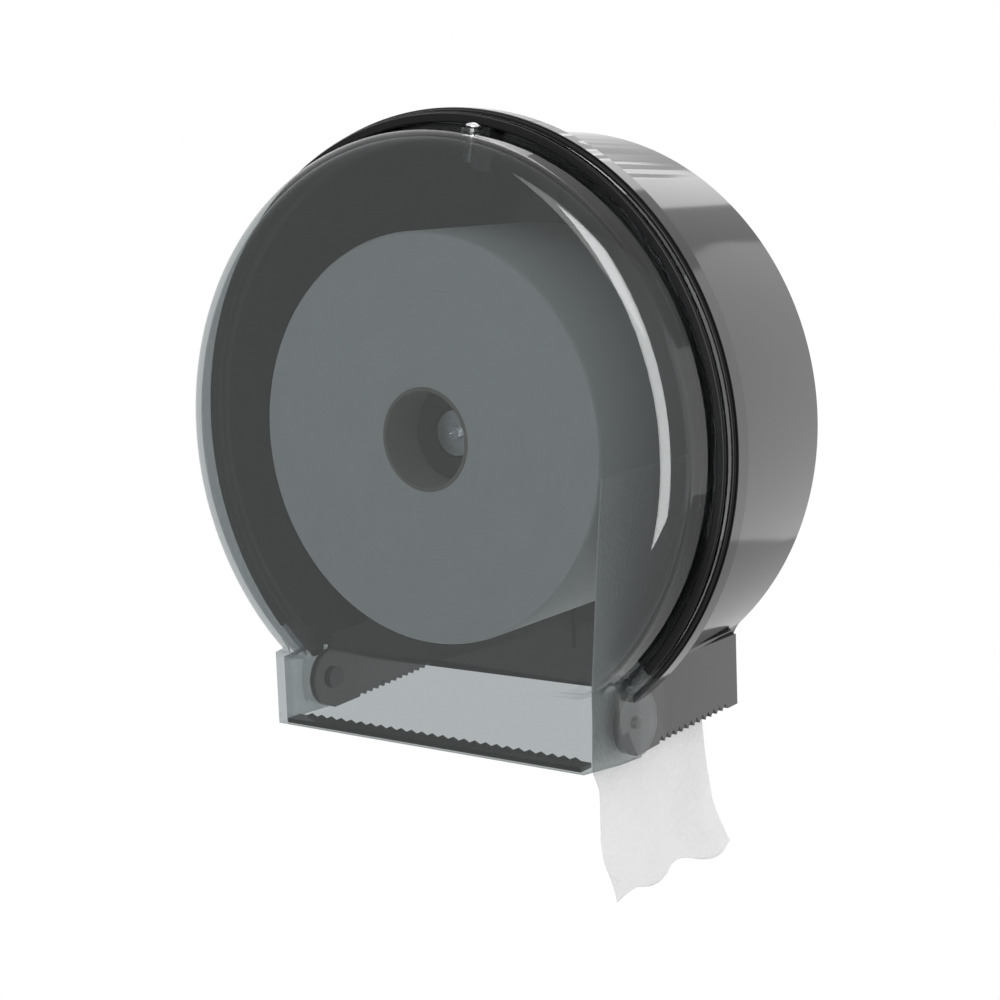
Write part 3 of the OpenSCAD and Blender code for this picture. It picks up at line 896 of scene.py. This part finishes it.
    def chin_block(self, name: str, inset: float, reach: float) -> Piece:
        """Models the chin's block, wider at the wall than beside the hinges.

        Args:
            name: The block's name.
            inset: How far it lies inside the chin's outer faces.
            reach: How far it runs on past the chin's front and bottom.

        Returns:
            The block.
        """
        half = self.chin_half - inset
        chin = block(
            name,
            (-half, -self.hinge_depth - reach, self.chin_bottom - reach),
            (half, -inset, self.chin_top + (self.seat if reach else 0)),
        )
        with editing(chin):
            bpy.ops.mesh.bisect(plane_co=(0, -self.flat_rear, 0), plane_no=(0, 1, 0))
            pick_faces(chin, (0, 1, 0))
            scale = (half + self.chin_flare) / half
            bpy.ops.transform.resize(value=(scale, 1, 1), center_override=(0, -inset, 0))
        return chin

    def add_ears(self, shell: Piece) -> None:
        """Adds the hinge ears with their bores, and clears the rim ring round the cover's ears."""
        chin, room = self.chin_half, self.chin_side
        for side in Side:
            ear = self.hinge_bar(side, chin - self.wall, chin, self.ear - self.ear_inset)
            joined(shell, ear, Join.ADD)
            clear = self.hinge_bar(side, chin, room, self.ear + self.ear_room)
            joined(shell, clear, Join.CUT)
            bore = self.hinge_bar(side, chin - 6 * PAST, chin + 2 * PAST, self.bore, 48)
            joined(shell, bore, Join.CUT)

    def cut_teeth(self, shell: Piece, tilt: float) -> None:
        """Cuts the notches between the teeth of both side edges.

        Args:
            shell: The housing.
            tilt: The tilt of the edges in radians.
        """
        for side in Side:
            row = None
            for number in range(self.teeth + 1):
                notch = self.notch(side, self.tooth_ledge + number * self.tooth_pitch)
                row = notch if row is None else joined(row, notch, Join.ADD)
            joined(shell, self.at_seam(row, tilt), Join.CUT)

    def notch(self, side: Side, back: float) -> Piece:
        """Models one notch at the origin, a wedge that opens downwards to a narrow tip.

        Args:
            side: The side that it is cut in.
            back: How far the notch's tip lies behind the seam.

        Returns:
            The wedge.
        """
        low = -PAST
        tip = self.tooth_height
        flat_share, tip_share = 0.98, 0.06
        reach = self.tooth_pitch / 2 * (tip - low) / self.tooth_height * flat_share
        inner = side.value * (self.chin_half - self.wall - PAST)
        outer = side.value * (self.chin_half + self.chin_flare + PAST)
        wedge = block(
            "notch",
            (min(inner, outer), back - reach, low),
            (max(inner, outer), back + reach, tip),
        )
        with editing(wedge):
            pick_faces(wedge, (0, 0, 1))
            bpy.ops.transform.resize(value=(1, tip_share, 1), center_override=(0, back, tip))
        return wedge

    def add_wall_plate_detail(self, shell: Piece) -> None:
        """Adds the ribs, the pads and the holes of the wall plate."""
        start, end = self.rib_span
        for turn in range(4):
            rib = block(
                "rib",
                (start, -self.wall - self.rib_height, -PAST),
                (end, -self.wall + PAST, PAST),
            )
            rib.rotation_euler = (0, turn * math.pi / 2, 0)
            settle(rib)
            joined(shell, rib, Join.ADD)
        for x in (-self.screw_x, self.screw_x):
            for z in (-self.screw_z, self.screw_z):
                front = -self.wall - self.pad_height
                pad = bar("pad", (x, -self.wall + PAST, z), (x, front, z), self.pad)
                joined(shell, pad, Join.ADD)
                hole = bar("hole", (x, PAST, z), (x, front - 5 * PAST, z), self.screw_bore)
                joined(shell, hole, Join.CUT)


@dataclass
class Cover(Shell):
    """The smoked cover, with its rounded shoulder, rim flange, chin, ears and lock seat.

    Attributes:
        rear: Depth of its rear edge.
        face: Depth of its front face.
        side: Outer radius of its side at the rear.
        side_front: Outer radius of its side before the shoulder.
        shoulder: Radius of the shoulder.
        wall: Wall thickness.
        flange: Radius of the rim flange.
        flange_front: Depth of the flange's front.
        chin_rear: Depth of the chin's rear edge.
        chin_half: Half the chin's outer width at the rear.
        chin_inner: Half its inner width beside the ears.
        chin_front: Half its outer width at the face.
        chin_lift: How far the mouth's edge rises towards the front.
        ear_front: Depth to which the chin's sides are flat beside the ears.
        ear_thick: Thickness of the hinge ears.
        lock_angle: Degrees from the top at which the lock stands.
        lock_depth: Depth of the lock's axis.
        lock_pad: Radius of the pad that the lock stands in.
        lock_bore: Radius of the lock's bore.
        softness: Width of the rounding on its edges.
        sides: Number of sides round the drum.
        arc_steps: Number of steps round the shoulder.
    """

    rear: float = 93.4 * MM
    face: float = 122 * MM
    side: float = 133 * MM
    side_front: float = 130.5 * MM
    shoulder: float = 12 * MM
    wall: float = 2.6 * MM
    flange: float = 137.8 * MM
    flange_front: float = 96.4 * MM
    chin_rear: float = 84.4 * MM
    chin_half: float = 86.6 * MM
    chin_inner: float = 84.2 * MM
    chin_front: float = 82 * MM
    chin_lift: float = 1.8 * MM
    ear_front: float = 100 * MM
    ear_thick: float = 1.8 * MM
    lock_angle: float = 10.8
    lock_depth: float = 102 * MM
    lock_pad: float = 5 * MM
    lock_bore: float = 3.05 * MM
    softness: float = 0.35 * MM
    sides: int = 256
    arc_steps: int = 14

    def build(self) -> None:
        """Models and dresses the cover."""
        shell = self.outer_drum()
        joined(shell, self.outer_chin(), Join.ADD)
        for side in Side:
            joined(shell, mirrored_to(self.turned_blend(), side), Join.ADD)
        room = self.inner_drum()
        joined(room, self.inner_chin(), Join.ADD)
        joined(shell, room, Join.CUT)
        joined(shell, self.mouth_cut(), Join.CUT)
        self.add_ears(shell)
        self.add_lock_seat(shell)
        shell.name = "cover_shell"
        ease_edges(shell, self.softness, 2)
        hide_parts("front_cover")
        dress(shell, self.finishes.cover, "cover")

    def shoulder_stations(self, inset: float) -> list[Station]:
        """Works out the shoulder's arc, from the side to the face.

        Args:
            inset: How far the surface lies inside the outer one.

        Returns:
            Radius and depth of each point.
        """
        bend = self.shoulder - inset
        middle_r = self.side_front - self.shoulder
        middle_d = self.face - self.shoulder
        return [
            (
                middle_r + bend * math.cos(math.pi / 2 * k / self.arc_steps),
                middle_d + bend * math.sin(math.pi / 2 * k / self.arc_steps),
            )
            for k in range(self.arc_steps + 1)
        ]

    def outer_drum(self) -> Piece:
        """Models the filled outer drum, without its round rim below the chin."""
        drum = turned(
            "cover drum",
            [
                (self.flange, self.rear),
                (self.flange, self.flange_front),
                (self.side, self.flange_front),
                *self.shoulder_stations(0),
            ],
            self.sides,
        )
        below = block(
            "below",
            (-self.chin_inner, -self.face - PAST, self.chin_bottom - FAR),
            (self.chin_inner, -self.rear + PAST, self.chin_bottom),
        )
        return joined(drum, below, Join.CUT)

    def inner_drum(self) -> Piece:
        """Models the room inside the drum."""
        return turned(
            "cover room",
            [
                (self.side - self.wall, self.chin_rear - PAST),
                *self.shoulder_stations(self.wall),
            ],
            self.sides,
        )

    def outer_chin(self) -> Piece:
        """Models the filled chin, narrower at its front than beside the ears."""
        chin = block(
            "cover chin",
            (-self.chin_half, -self.face, self.chin_bottom),
            (self.chin_half, -self.chin_rear, self.chin_top),
        )
        with editing(chin):
            bpy.ops.mesh.bisect(plane_co=(0, -self.ear_front, 0), plane_no=(0, 1, 0))
            pick_faces(chin, (0, -1, 0))
            scale = self.chin_front / self.chin_half
            bpy.ops.transform.resize(value=(scale, 1, 1), center_override=(0, -self.face, 0))
            self.pick_cut(chin)
            scale = (self.chin_inner + self.ear_thick) / self.chin_half
            bpy.ops.transform.resize(value=(scale, 1, 1), center_override=(0, -self.ear_front, 0))
        return chin

    def pick_cut(self, chin: Piece) -> None:
        """Selects the corners of a chin in edit mode that stand at the front of the ears.

        Args:
            chin: The chin, cut through at the front of the ears.
        """
        bpy.ops.mesh.select_mode(type="VERT")
        bpy.ops.mesh.select_all(action="DESELECT")
        mesh = bmesh.from_edit_mesh(chin.data)
        for vertex in mesh.verts:
            vertex.select_set(abs(vertex.co.y + self.ear_front) < 0.01 * MM)
        mesh.select_flush_mode()
        bmesh.update_edit_mesh(chin.data)

    def inner_chin(self) -> Piece:
        """Models the room inside the chin, flat beside the hinge ears."""
        chin = block(
            "chin room",
            (-self.chin_inner, -self.face + self.wall, self.chin_bottom - FAR + 2 * MM),
            (self.chin_inner, -self.chin_rear + PAST, self.chin_top - self.wall),
        )
        with editing(chin):
            bpy.ops.mesh.bisect(plane_co=(0, -self.ear_front, 0), plane_no=(0, 1, 0))
            pick_faces(chin, (0, -1, 0))
            scale = (self.chin_front - self.wall) / self.chin_inner
            bpy.ops.transform.resize(
                value=(scale, 1, 1), center_override=(0, -self.face + self.wall, 0)
            )
        return chin

    def turned_blend(self) -> Piece:
        """Models the right hollow blend, turned to follow the chin's narrowing side."""
        front = self.face - self.shoulder
        blend = self.side_blend(self.chin_half, self.side, self.rear, front)
        taper = math.atan((self.chin_half - self.chin_front) / (self.face - self.chin_rear))
        hinge = Vector((self.chin_half, -self.chin_rear, 0))
        turn = Matrix.Translation(hinge) @ Matrix.Rotation(-taper, 4, "Z")
        blend.data.transform(turn @ Matrix.Translation(-hinge))
        return blend

    def mouth_cut(self) -> Piece:
        """Models the room below the mouth's edge, which rises towards the front."""
        run = self.face - self.hinge_depth + PAST
        below = block(
            "below", (-self.chin_half - PAST, -run, -1.5 * FAR), (self.chin_half + PAST, 0, 0)
        )
        tilt = math.atan(self.chin_lift / (self.face - self.hinge_depth))
        return self.at_seam(below, -tilt)

    def add_ears(self, shell: Piece) -> None:
        """Adds the round hinge ears that lap over the housing's chin."""
        inner = self.chin_inner
        for side in Side:
            ear = self.hinge_bar(side, inner, inner + self.ear_thick, self.ear)
            joined(shell, ear, Join.ADD)

    def add_lock_seat(self, shell: Piece) -> None:
        """Adds the pad at the top that the lock's barrel stands in."""
        angle = math.radians(self.lock_angle)

        def at(radius: float) -> Point:
            return (radius * math.sin(angle), -self.lock_depth, radius * math.cos(angle))

        top = self.side - 0.6 * MM
        foot = self.side - 5 * MM
        joined(shell, bar("pad", at(foot), at(top), self.lock_pad), Join.ADD)
        bore = bar("bore", at(foot - 4 * PAST), at(top + 5 * PAST), self.lock_bore)
        joined(shell, bore, Join.CUT)


@dataclass
class RimStrip:
    """One of the two black strips round the rim, with rounded edges and tips.

    Attributes:
        finishes: The finishes.
        name: The strip's name.
        node: The CAD node that it replaces.
        body: The body that it rides on.
        inner: Its inner radius.
        outer: Its outer radius.
        depth: Depth of its rear face.
        end_x: Sideways place of its two ends.
        thick: Its thickness.
        crown: Width of the rounding on its edges.
        steps: Number of steps along it.
    """

    finishes: Finishes
    name: str
    node: str
    body: str
    inner: float
    outer: float
    depth: float
    end_x: float
    thick: float = 2 * MM
    crown: float = 0.9 * MM
    steps: int = 150

    def build(self) -> None:
        """Models the strip by spinning its section about the drum's axis, and dresses it."""
        middle = (self.inner + self.outer) / 2
        end = -math.acos(self.end_x / middle)
        deselect_all()
        place = (middle, -self.depth - self.thick / 2, 0)
        bpy.ops.mesh.primitive_plane_add(size=1, location=place)
        piece = bpy.context.object
        piece.name = self.name
        piece.scale = (self.outer - self.inner, self.thick, 1)
        settle(piece)
        piece.data.transform(Matrix.Rotation(-end, 4, "Y"))
        with editing(piece):
            bpy.ops.mesh.spin(
                steps=self.steps, angle=math.pi - 2 * end, center=(0, 0, 0), axis=(0, 1, 0)
            )
        face_outwards(piece)
        ease_edges(piece, self.crown, steps=4, angle=60)
        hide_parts(self.node)
        dress(piece, self.finishes.seal, self.body)


def rim_strips(finishes: Finishes) -> list[RimStrip]:
    """Gives the housing's strip and the cover's strip."""
    sizes = {"inner": 135.7 * MM, "outer": 138.7 * MM, "depth": 91 * MM, "end_x": 97.5 * MM}
    housing = RimStrip(finishes, "housing_strip", "housing_rim_seal", "housing", **sizes)
    sizes = {"inner": 133.2 * MM, "outer": 137.2 * MM, "depth": 96.4 * MM, "end_x": 98 * MM}
    cover = RimStrip(finishes, "cover_strip", "cover_rim_seal", "cover", **sizes)
    return [housing, cover]


@dataclass
class Roll:
    """The roll and its core.

    Attributes:
        finishes: The finishes.
        sides: Number of sides round the roll.
        rings: Number of rings in its end faces.
        ring_step: How far every second ring lies back.
        rim: Width of the plain rims inside and outside the rings.
        outer_edge: Width of the slope at its outer edge.
        bore_edge: Width of the slope at its bore.
        core_sides: Number of sides round the core.
        core_wall: Wall thickness of the core.
        core_softness: Width of the rounding on the core's rims.
    """

    finishes: Finishes
    sides: int = 192
    rings: int = 14
    ring_step: float = 0.25 * MM
    rim: float = 1 * MM
    outer_edge: float = 1.2 * MM
    bore_edge: float = 0.4 * MM
    core_sides: int = 128
    core_wall: float = 1.7 * MM
    core_softness: float = 0.4 * MM

    def build(self) -> None:
        """Models and dresses the roll and the core."""
        self.roll()
        self.core()

    def bored(self, piece: Piece, radius: float, rear: float, front: float, sides: int) -> None:
        """Cuts a bore along the roll's axis through a piece.

        Args:
            piece: The piece.
            radius: Radius of the bore.
            rear: Depth of the piece's rear end.
            front: Depth of its front end.
            sides: Number of sides round the bore.
        """
        ends = [(0, -rear + 5 * PAST, 0), (0, -front - 5 * PAST, 0)]
        joined(piece, bar("bore", *ends, radius, sides), Join.CUT)

    def roll(self) -> None:
        """Models the roll: a hollow drum with sloped rims and faintly uneven end faces."""
        low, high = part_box("paper_roll")
        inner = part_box("roll_core")[1].x
        outer = high.x
        rear, front = -high.y, -low.y
        span = outer - inner - 2 * self.rim
        face = [
            (inner + span * (1 - k / self.rings) + self.rim, front - self.ring_step * (k % 2))
            for k in range(self.rings + 1)
        ]
        stations = [
            (inner, rear + self.bore_edge),
            *[(r, rear + front - d) for r, d in reversed(face)],
            (outer, rear + self.outer_edge),
            (outer, front - self.outer_edge),
            *face,
            (inner, front - self.bore_edge),
        ]
        roll = turned("roll", stations, self.sides)
        self.bored(roll, inner, rear, front, self.sides)
        roll.name = "tissue_roll"
        smooth(roll, angle=40)
        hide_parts("paper_roll")
        dress(roll, self.finishes.roll, "roll")

    def core(self) -> None:
        """Models the card core, a tube with softened rims."""
        low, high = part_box("roll_core")
        rear, front = -high.y, -low.y
        tube = turned("core_tube", [(high.x, rear), (high.x, front)], self.core_sides)
        self.bored(tube, high.x - self.core_wall, rear, front, self.core_sides)
        ease_edges(tube, self.core_softness, 2)
        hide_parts("roll_core")
        dress(tube, self.finishes.card, "roll")


@dataclass
class TailSheet:
    """The sheet that leaves the roll's right side and hangs out of the mouth.

    Attributes:
        finishes: The finishes.
        width: Width of the sheet; not used.
        ply: Its thickness.
        start: Where its middle leaves the roll, in x and z.
        corner: Where it bends past the chin's upper corner, in x and z.
        mouth: Where it passes the mouth, in x and z.
        end: Height of its torn end.
        edges: Height, and depths of the front and back edge there, from the torn end up.
        bend: How far above and below a point its path is averaged.
        fold: Depth of the folds at the torn end.
        wide_fold: Degrees that the wide folds run through, and degrees that they start at.
        narrow_fold: The same for the narrow folds.
        narrow_share: How deep the narrow folds are for the wide ones.
        drift: Degrees that the narrow folds shift by down to the torn end.
        crinkles: Number of crinkles across and down.
        crinkle: Their depth.
        fine_crinkle: Depth of the fine crinkles.
        finer: How much smaller the fine crinkles are.
        flare: How far the back edge stands out at the torn end.
        tear: Depth of the tear's waves.
        tear_run: Degrees that the tear's waves run through.
        tear_share: Share of the height that is torn.
        columns: Number of points across.
        rows: Number of points down.
    """

    finishes: Finishes
    width: float = 89 * MM
    ply: float = 0.25 * MM
    start: Station = (88.28 * MM, -11.3 * MM)
    corner: Station = (77.2 * MM, -100.3 * MM)
    mouth: Station = (76.6 * MM, -135.8 * MM)
    end: float = -194.8 * MM
    edges: tuple[Point, ...] = (
        (end, 95.5 * MM, 8 * MM),
        (-171.6 * MM, 103 * MM, 15.5 * MM),
        (-146 * MM, 102.5 * MM, 16 * MM),
        (-133.8 * MM, 107 * MM, 16.5 * MM),
        (-113.8 * MM, 106.5 * MM, 16 * MM),
        (start[1], 111.5 * MM, 22.5 * MM),
    )
    bend: float = 6 * MM
    fold: float = 2.6 * MM
    wide_fold: Span = (430, 40)
    narrow_fold: Span = (900, -60)
    narrow_share: float = 0.45
    drift: float = 120
    crinkles: Span = (6, 11)
    crinkle: float = 1.1 * MM
    fine_crinkle: float = 0.35 * MM
    finer: float = 3.5
    flare: float = 7 * MM
    tear: float = 2.2 * MM
    tear_run: float = 760
    tear_share: float = 0.015
    columns: int = 120
    rows: int = 240

    def build(self) -> None:
        """Models the sheet as a flat grid, places its points and dresses it."""
        deselect_all()
        bpy.ops.mesh.primitive_grid_add(
            x_subdivisions=self.columns, y_subdivisions=self.rows, size=1
        )
        sheet = bpy.context.object
        sheet.name = "tissue_tail"
        for vertex in sheet.data.vertices:
            vertex.co = self.place(vertex.co.x + 0.5, 0.5 - vertex.co.y)
        change = sheet.modifiers.new("ply", "SOLIDIFY")
        change.thickness = self.ply
        change.offset = 0
        take(sheet)
        bpy.ops.object.modifier_apply(modifier=change.name)
        face_outwards(sheet)
        bpy.ops.object.shade_smooth()
        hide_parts("paper_tail")
        dress(sheet, self.finishes.sheet, "housing")
        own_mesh(sheet)

    def place(self, across: float, down: float) -> Vector:
        """Gives the place of a point of the sheet.

        Args:
            across: Share of the width, from the front edge to the back edge.
            down: Share of the height, from the roll to the torn end.

        Returns:
            The point.
        """
        z = self.start[1] + (self.end - self.start[1]) * down
        hang = max(0.0, (self.mouth[1] - z) / (self.mouth[1] - self.end))
        front = along(z, [(height, edge) for height, edge, _ in self.edges], soft=True)
        back = along(z, [(height, edge) for height, _, edge in self.edges], soft=True)
        y = -(front + across * (back - front))
        out = self.folded(across, hang) + self.crinkled(across, down, hang)
        out += self.flare * across * hang**2
        return Vector((self.path(z) + out, y, z + self.torn(across, down)))

    def path(self, z: float) -> float:
        """Gives the sideways place of the sheet's middle at a height, with rounded bends."""
        points = [(self.end, self.mouth[0])]
        points += [(height, x) for x, height in (self.mouth, self.corner, self.start)]
        steps = 4
        near = [along(z + k * self.bend / steps, points) for k in range(-steps, steps + 1)]
        return sum(near) / len(near)

    def folded(self, across: float, hang: float) -> float:
        """Gives how far the folds stand out at a share of the width and of the hanging end."""
        (wide_run, wide_start), (narrow_run, narrow_start) = self.wide_fold, self.narrow_fold
        wide = math.sin(math.radians(wide_run * across + wide_start))
        narrow = math.sin(math.radians(narrow_run * across + narrow_start + self.drift * hang))
        return self.fold * hang * (wide + self.narrow_share * narrow)

    def crinkled(self, across: float, down: float, hang: float) -> float:
        """Gives how far the crinkles stand out, with finer ones on them."""
        spot = Vector((self.crinkles[0] * across, self.crinkles[1] * down, 0.5))
        depth = self.crinkle * noise3(spot) + self.fine_crinkle * noise3(self.finer * spot)
        return min(1.0, 2 * hang) * depth

    def torn(self, across: float, down: float) -> float:
        """Gives how far a point is moved up or down by the tear, in the sheet's last rows."""
        reach = down - (1 - self.tear_share)
        if reach <= 0:
            return 0.0
        wave = math.sin(math.radians(self.tear_run * across))
        return self.tear * wave * reach / self.tear_share


def along(at: float, points: Sequence[Station], soft: bool = False) -> float:
    """Reads a value from a rising row of points.

    Args:
        at: Where to read.
        points: Place and value of each point.
        soft: Whether the value runs smoothly between two points, or in a straight line.

    Returns:
        The value there.
    """
    if at <= points[0][0]:
        return points[0][1]
    for (a, low), (b, high) in zip(points, points[1:]):
        if at <= b:
            share = (at - a) / (b - a)
            if soft:
                share = share * share * (3 - 2 * share)
            return low + (high - low) * share
    return points[-1][1]


@dataclass
class Fittings:
    """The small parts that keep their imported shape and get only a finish.

    Attributes:
        finishes: The finishes.
        nodes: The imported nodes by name.
    """

    finishes: Finishes
    nodes: dict[str, Piece]

    def build(self) -> None:
        """Gives each small part its finish."""
        finish_of = {
            "spindle_base": self.finishes.holder,
            "core_holder": self.finishes.holder,
            "tear_strip": self.finishes.trim,
            "spindle_base_screws": self.finishes.steel,
            "axle_washer": self.finishes.steel,
            "axle_screw": self.finishes.steel,
            "hinge_pin_left": self.finishes.blacked,
            "hinge_pin_right": self.finishes.blacked,
            # The chrome carries painted shade on the barrel's body below its head.
            "lock_barrel": self.finishes.chrome,
            "lock_retaining_ring": self.finishes.blacked,
            "lock_cam": self.finishes.blacked,
            "lock_cam_screw": self.finishes.blacked,
            "keeper_plate": self.finishes.blacked,
            "keeper_screws": self.finishes.blacked,
        }
        for name, finish in finish_of.items():
            part = self.nodes[name]
            part.data.materials.clear()
            part.data.materials.append(finish)
            LOG.info("%s: packed shape, finish %s", name, finish.name)


# Studio


@dataclass
class Studio:
    """The pale floor, the soft lights and the camera at the photograph's angle.

    Attributes:
        azimuth: Degrees from the front towards the right.
        elevation: Degrees above the horizon.
        roll: Degrees that the camera is rolled.
        distance: Distance from the camera to its target.
        target: The point that the camera turns round.
        lens_pixels: Focal length in pixels of the 1000 pixel frame.
        centre: Pixel of the optical axis.
        frame_pixels: Width and height of the frame in pixels.
        sensor: Width of the sensor in millimetres.
        floor_size: Width and length of the floor.
        floor_height: Height of the floor.
        daylight: Strength of the white world that lights the dispenser.
    """

    azimuth: float = 35.805
    elevation: float = 7.324
    roll: float = -2.179
    distance: float = 887.4 * MM
    target: Point = (0, -62.2 * MM, 0)
    lens_pixels: float = 1996.1
    centre: Span = (492.4, 425.1)
    frame_pixels: float = 1000
    sensor: float = 36
    floor_size: float = 6
    floor_height: float = -0.55
    daylight: float = 0.72

    def build(self) -> None:
        """Sets up the floor, the lights, the world and the camera."""
        self.floor()
        self.lights()
        self.world()
        self.camera()
        bpy.context.scene.view_settings.view_transform = "Standard"

    def camera(self) -> None:
        """Places the camera."""
        azimuth, elevation = math.radians(self.azimuth), math.radians(self.elevation)
        back = Vector(
            (
                math.sin(azimuth) * math.cos(elevation),
                -math.cos(azimuth) * math.cos(elevation),
                math.sin(elevation),
            )
        )
        data = bpy.data.cameras.new("camera")
        data.sensor_width = self.sensor
        data.lens = self.lens_pixels / self.frame_pixels * self.sensor
        data.shift_x = (self.frame_pixels / 2 - self.centre[0]) / self.frame_pixels
        data.shift_y = (self.centre[1] - self.frame_pixels / 2) / self.frame_pixels
        data.clip_start = 0.01
        camera = bpy.data.objects.new("camera", data)
        bpy.context.scene.collection.objects.link(camera)
        aim = (-back).to_track_quat("-Z", "Y").to_matrix().to_4x4()
        tilt = Matrix.Rotation(math.radians(self.roll), 4, "Z")
        place = Matrix.Translation(Vector(self.target) + back * self.distance)
        camera.matrix_world = place @ aim @ tilt
        bpy.context.scene.camera = camera

    def floor(self) -> None:
        """Adds the pale floor below the dispenser."""
        deselect_all()
        bpy.ops.mesh.primitive_plane_add(size=self.floor_size, location=(0, 0, self.floor_height))
        floor = bpy.context.object
        floor.name = "floor"
        made, graph = new_material("floor white")
        matt = graph.add("ShaderNodeBsdfDiffuse", {"Color": (0.8, 0.8, 0.8, 1)})
        glow = graph.add("ShaderNodeEmission", {"Strength": 1})
        self.seen_by_eye(graph, matt.outputs["BSDF"], glow.outputs["Emission"])
        floor.data.materials.append(made)

    def seen_by_eye(self, graph: Graph, plain: Socket, seen: Socket) -> None:
        """Shows one surface to the camera, in gloss and through glass, and another to the rest.

        Args:
            graph: The nodes.
            plain: The surface for all other rays.
            seen: The surface for rays that are seen.
        """
        ray = graph.add("ShaderNodeLightPath").outputs
        either = graph.math("MAXIMUM", ray["Is Camera Ray"], ray["Is Glossy Ray"])
        either = graph.math("MAXIMUM", either, ray["Is Transmission Ray"])
        graph.show_mix(either, plain, seen)

    def world(self) -> None:
        """Lights the dispenser evenly and shows white behind it."""
        world = bpy.data.worlds.new("studio")
        world.use_nodes = True
        graph = Graph(world.node_tree, "ShaderNodeOutputWorld")
        white = (1, 1, 1, 1)
        plain = graph.add("ShaderNodeBackground", {"Color": white, "Strength": self.daylight})
        seen = graph.add("ShaderNodeBackground", {"Color": white, "Strength": 1})
        self.seen_by_eye(graph, plain.outputs["Background"], seen.outputs["Background"])
        bpy.context.scene.world = world

    def lights(self) -> None:
        """Adds the soft boxes, and the tall card, which shows in gloss and lights no matt surface."""
        middle = (0, -0.06, 0)
        self.soft_box("front", (0.3, -1.3, 0.9), middle, (1.0, 1.0), 7.5)
        self.soft_box("side", (0.92, 1.0, -0.12), (0.92, 0, -0.12), (1.35, 1.4), 5.3)
        self.soft_box("top", (-0.3, 1.0, 0.85), middle, (0.75, 0.5), 2)
        card = self.soft_box("card", (0.5, -1.15, 0.45), (0, -0.06, 0.45), (0.8, 1.9), 36)
        card.visible_diffuse = False

    def soft_box(self, name: str, place: Point, aim: Point, size: Span, power: float) -> Piece:
        """Adds one soft box.

        Args:
            name: The light's name.
            place: Where it stands.
            aim: What it points at.
            size: Its width and height.
            power: Its power in watts.

        Returns:
            The light.
        """
        data = bpy.data.lights.new(name, "AREA")
        data.shape = "RECTANGLE"
        data.size, data.size_y = size
        data.energy = power
        light = bpy.data.objects.new(name, data)
        bpy.context.scene.collection.objects.link(light)
        light.location = place
        light.rotation_euler = (Vector(aim) - Vector(place)).to_track_quat("-Z", "Y").to_euler()
        light.visible_camera = False
        return light


def main() -> None:
    """Loads the frame, builds and dresses every piece and sets up the studio."""
    logging.basicConfig(level=logging.INFO, format="%(name)s: %(message)s")
    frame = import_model()
    finishes = Finishes()
    Studio().build()
    Housing(finishes).build()
    Cover(finishes).build()
    for strip in rim_strips(finishes):
        strip.build()
    Roll(finishes).build()
    TailSheet(finishes).build()
    Fittings(finishes, frame["nodes"]).build()


if __name__ == "__main__":
    main()
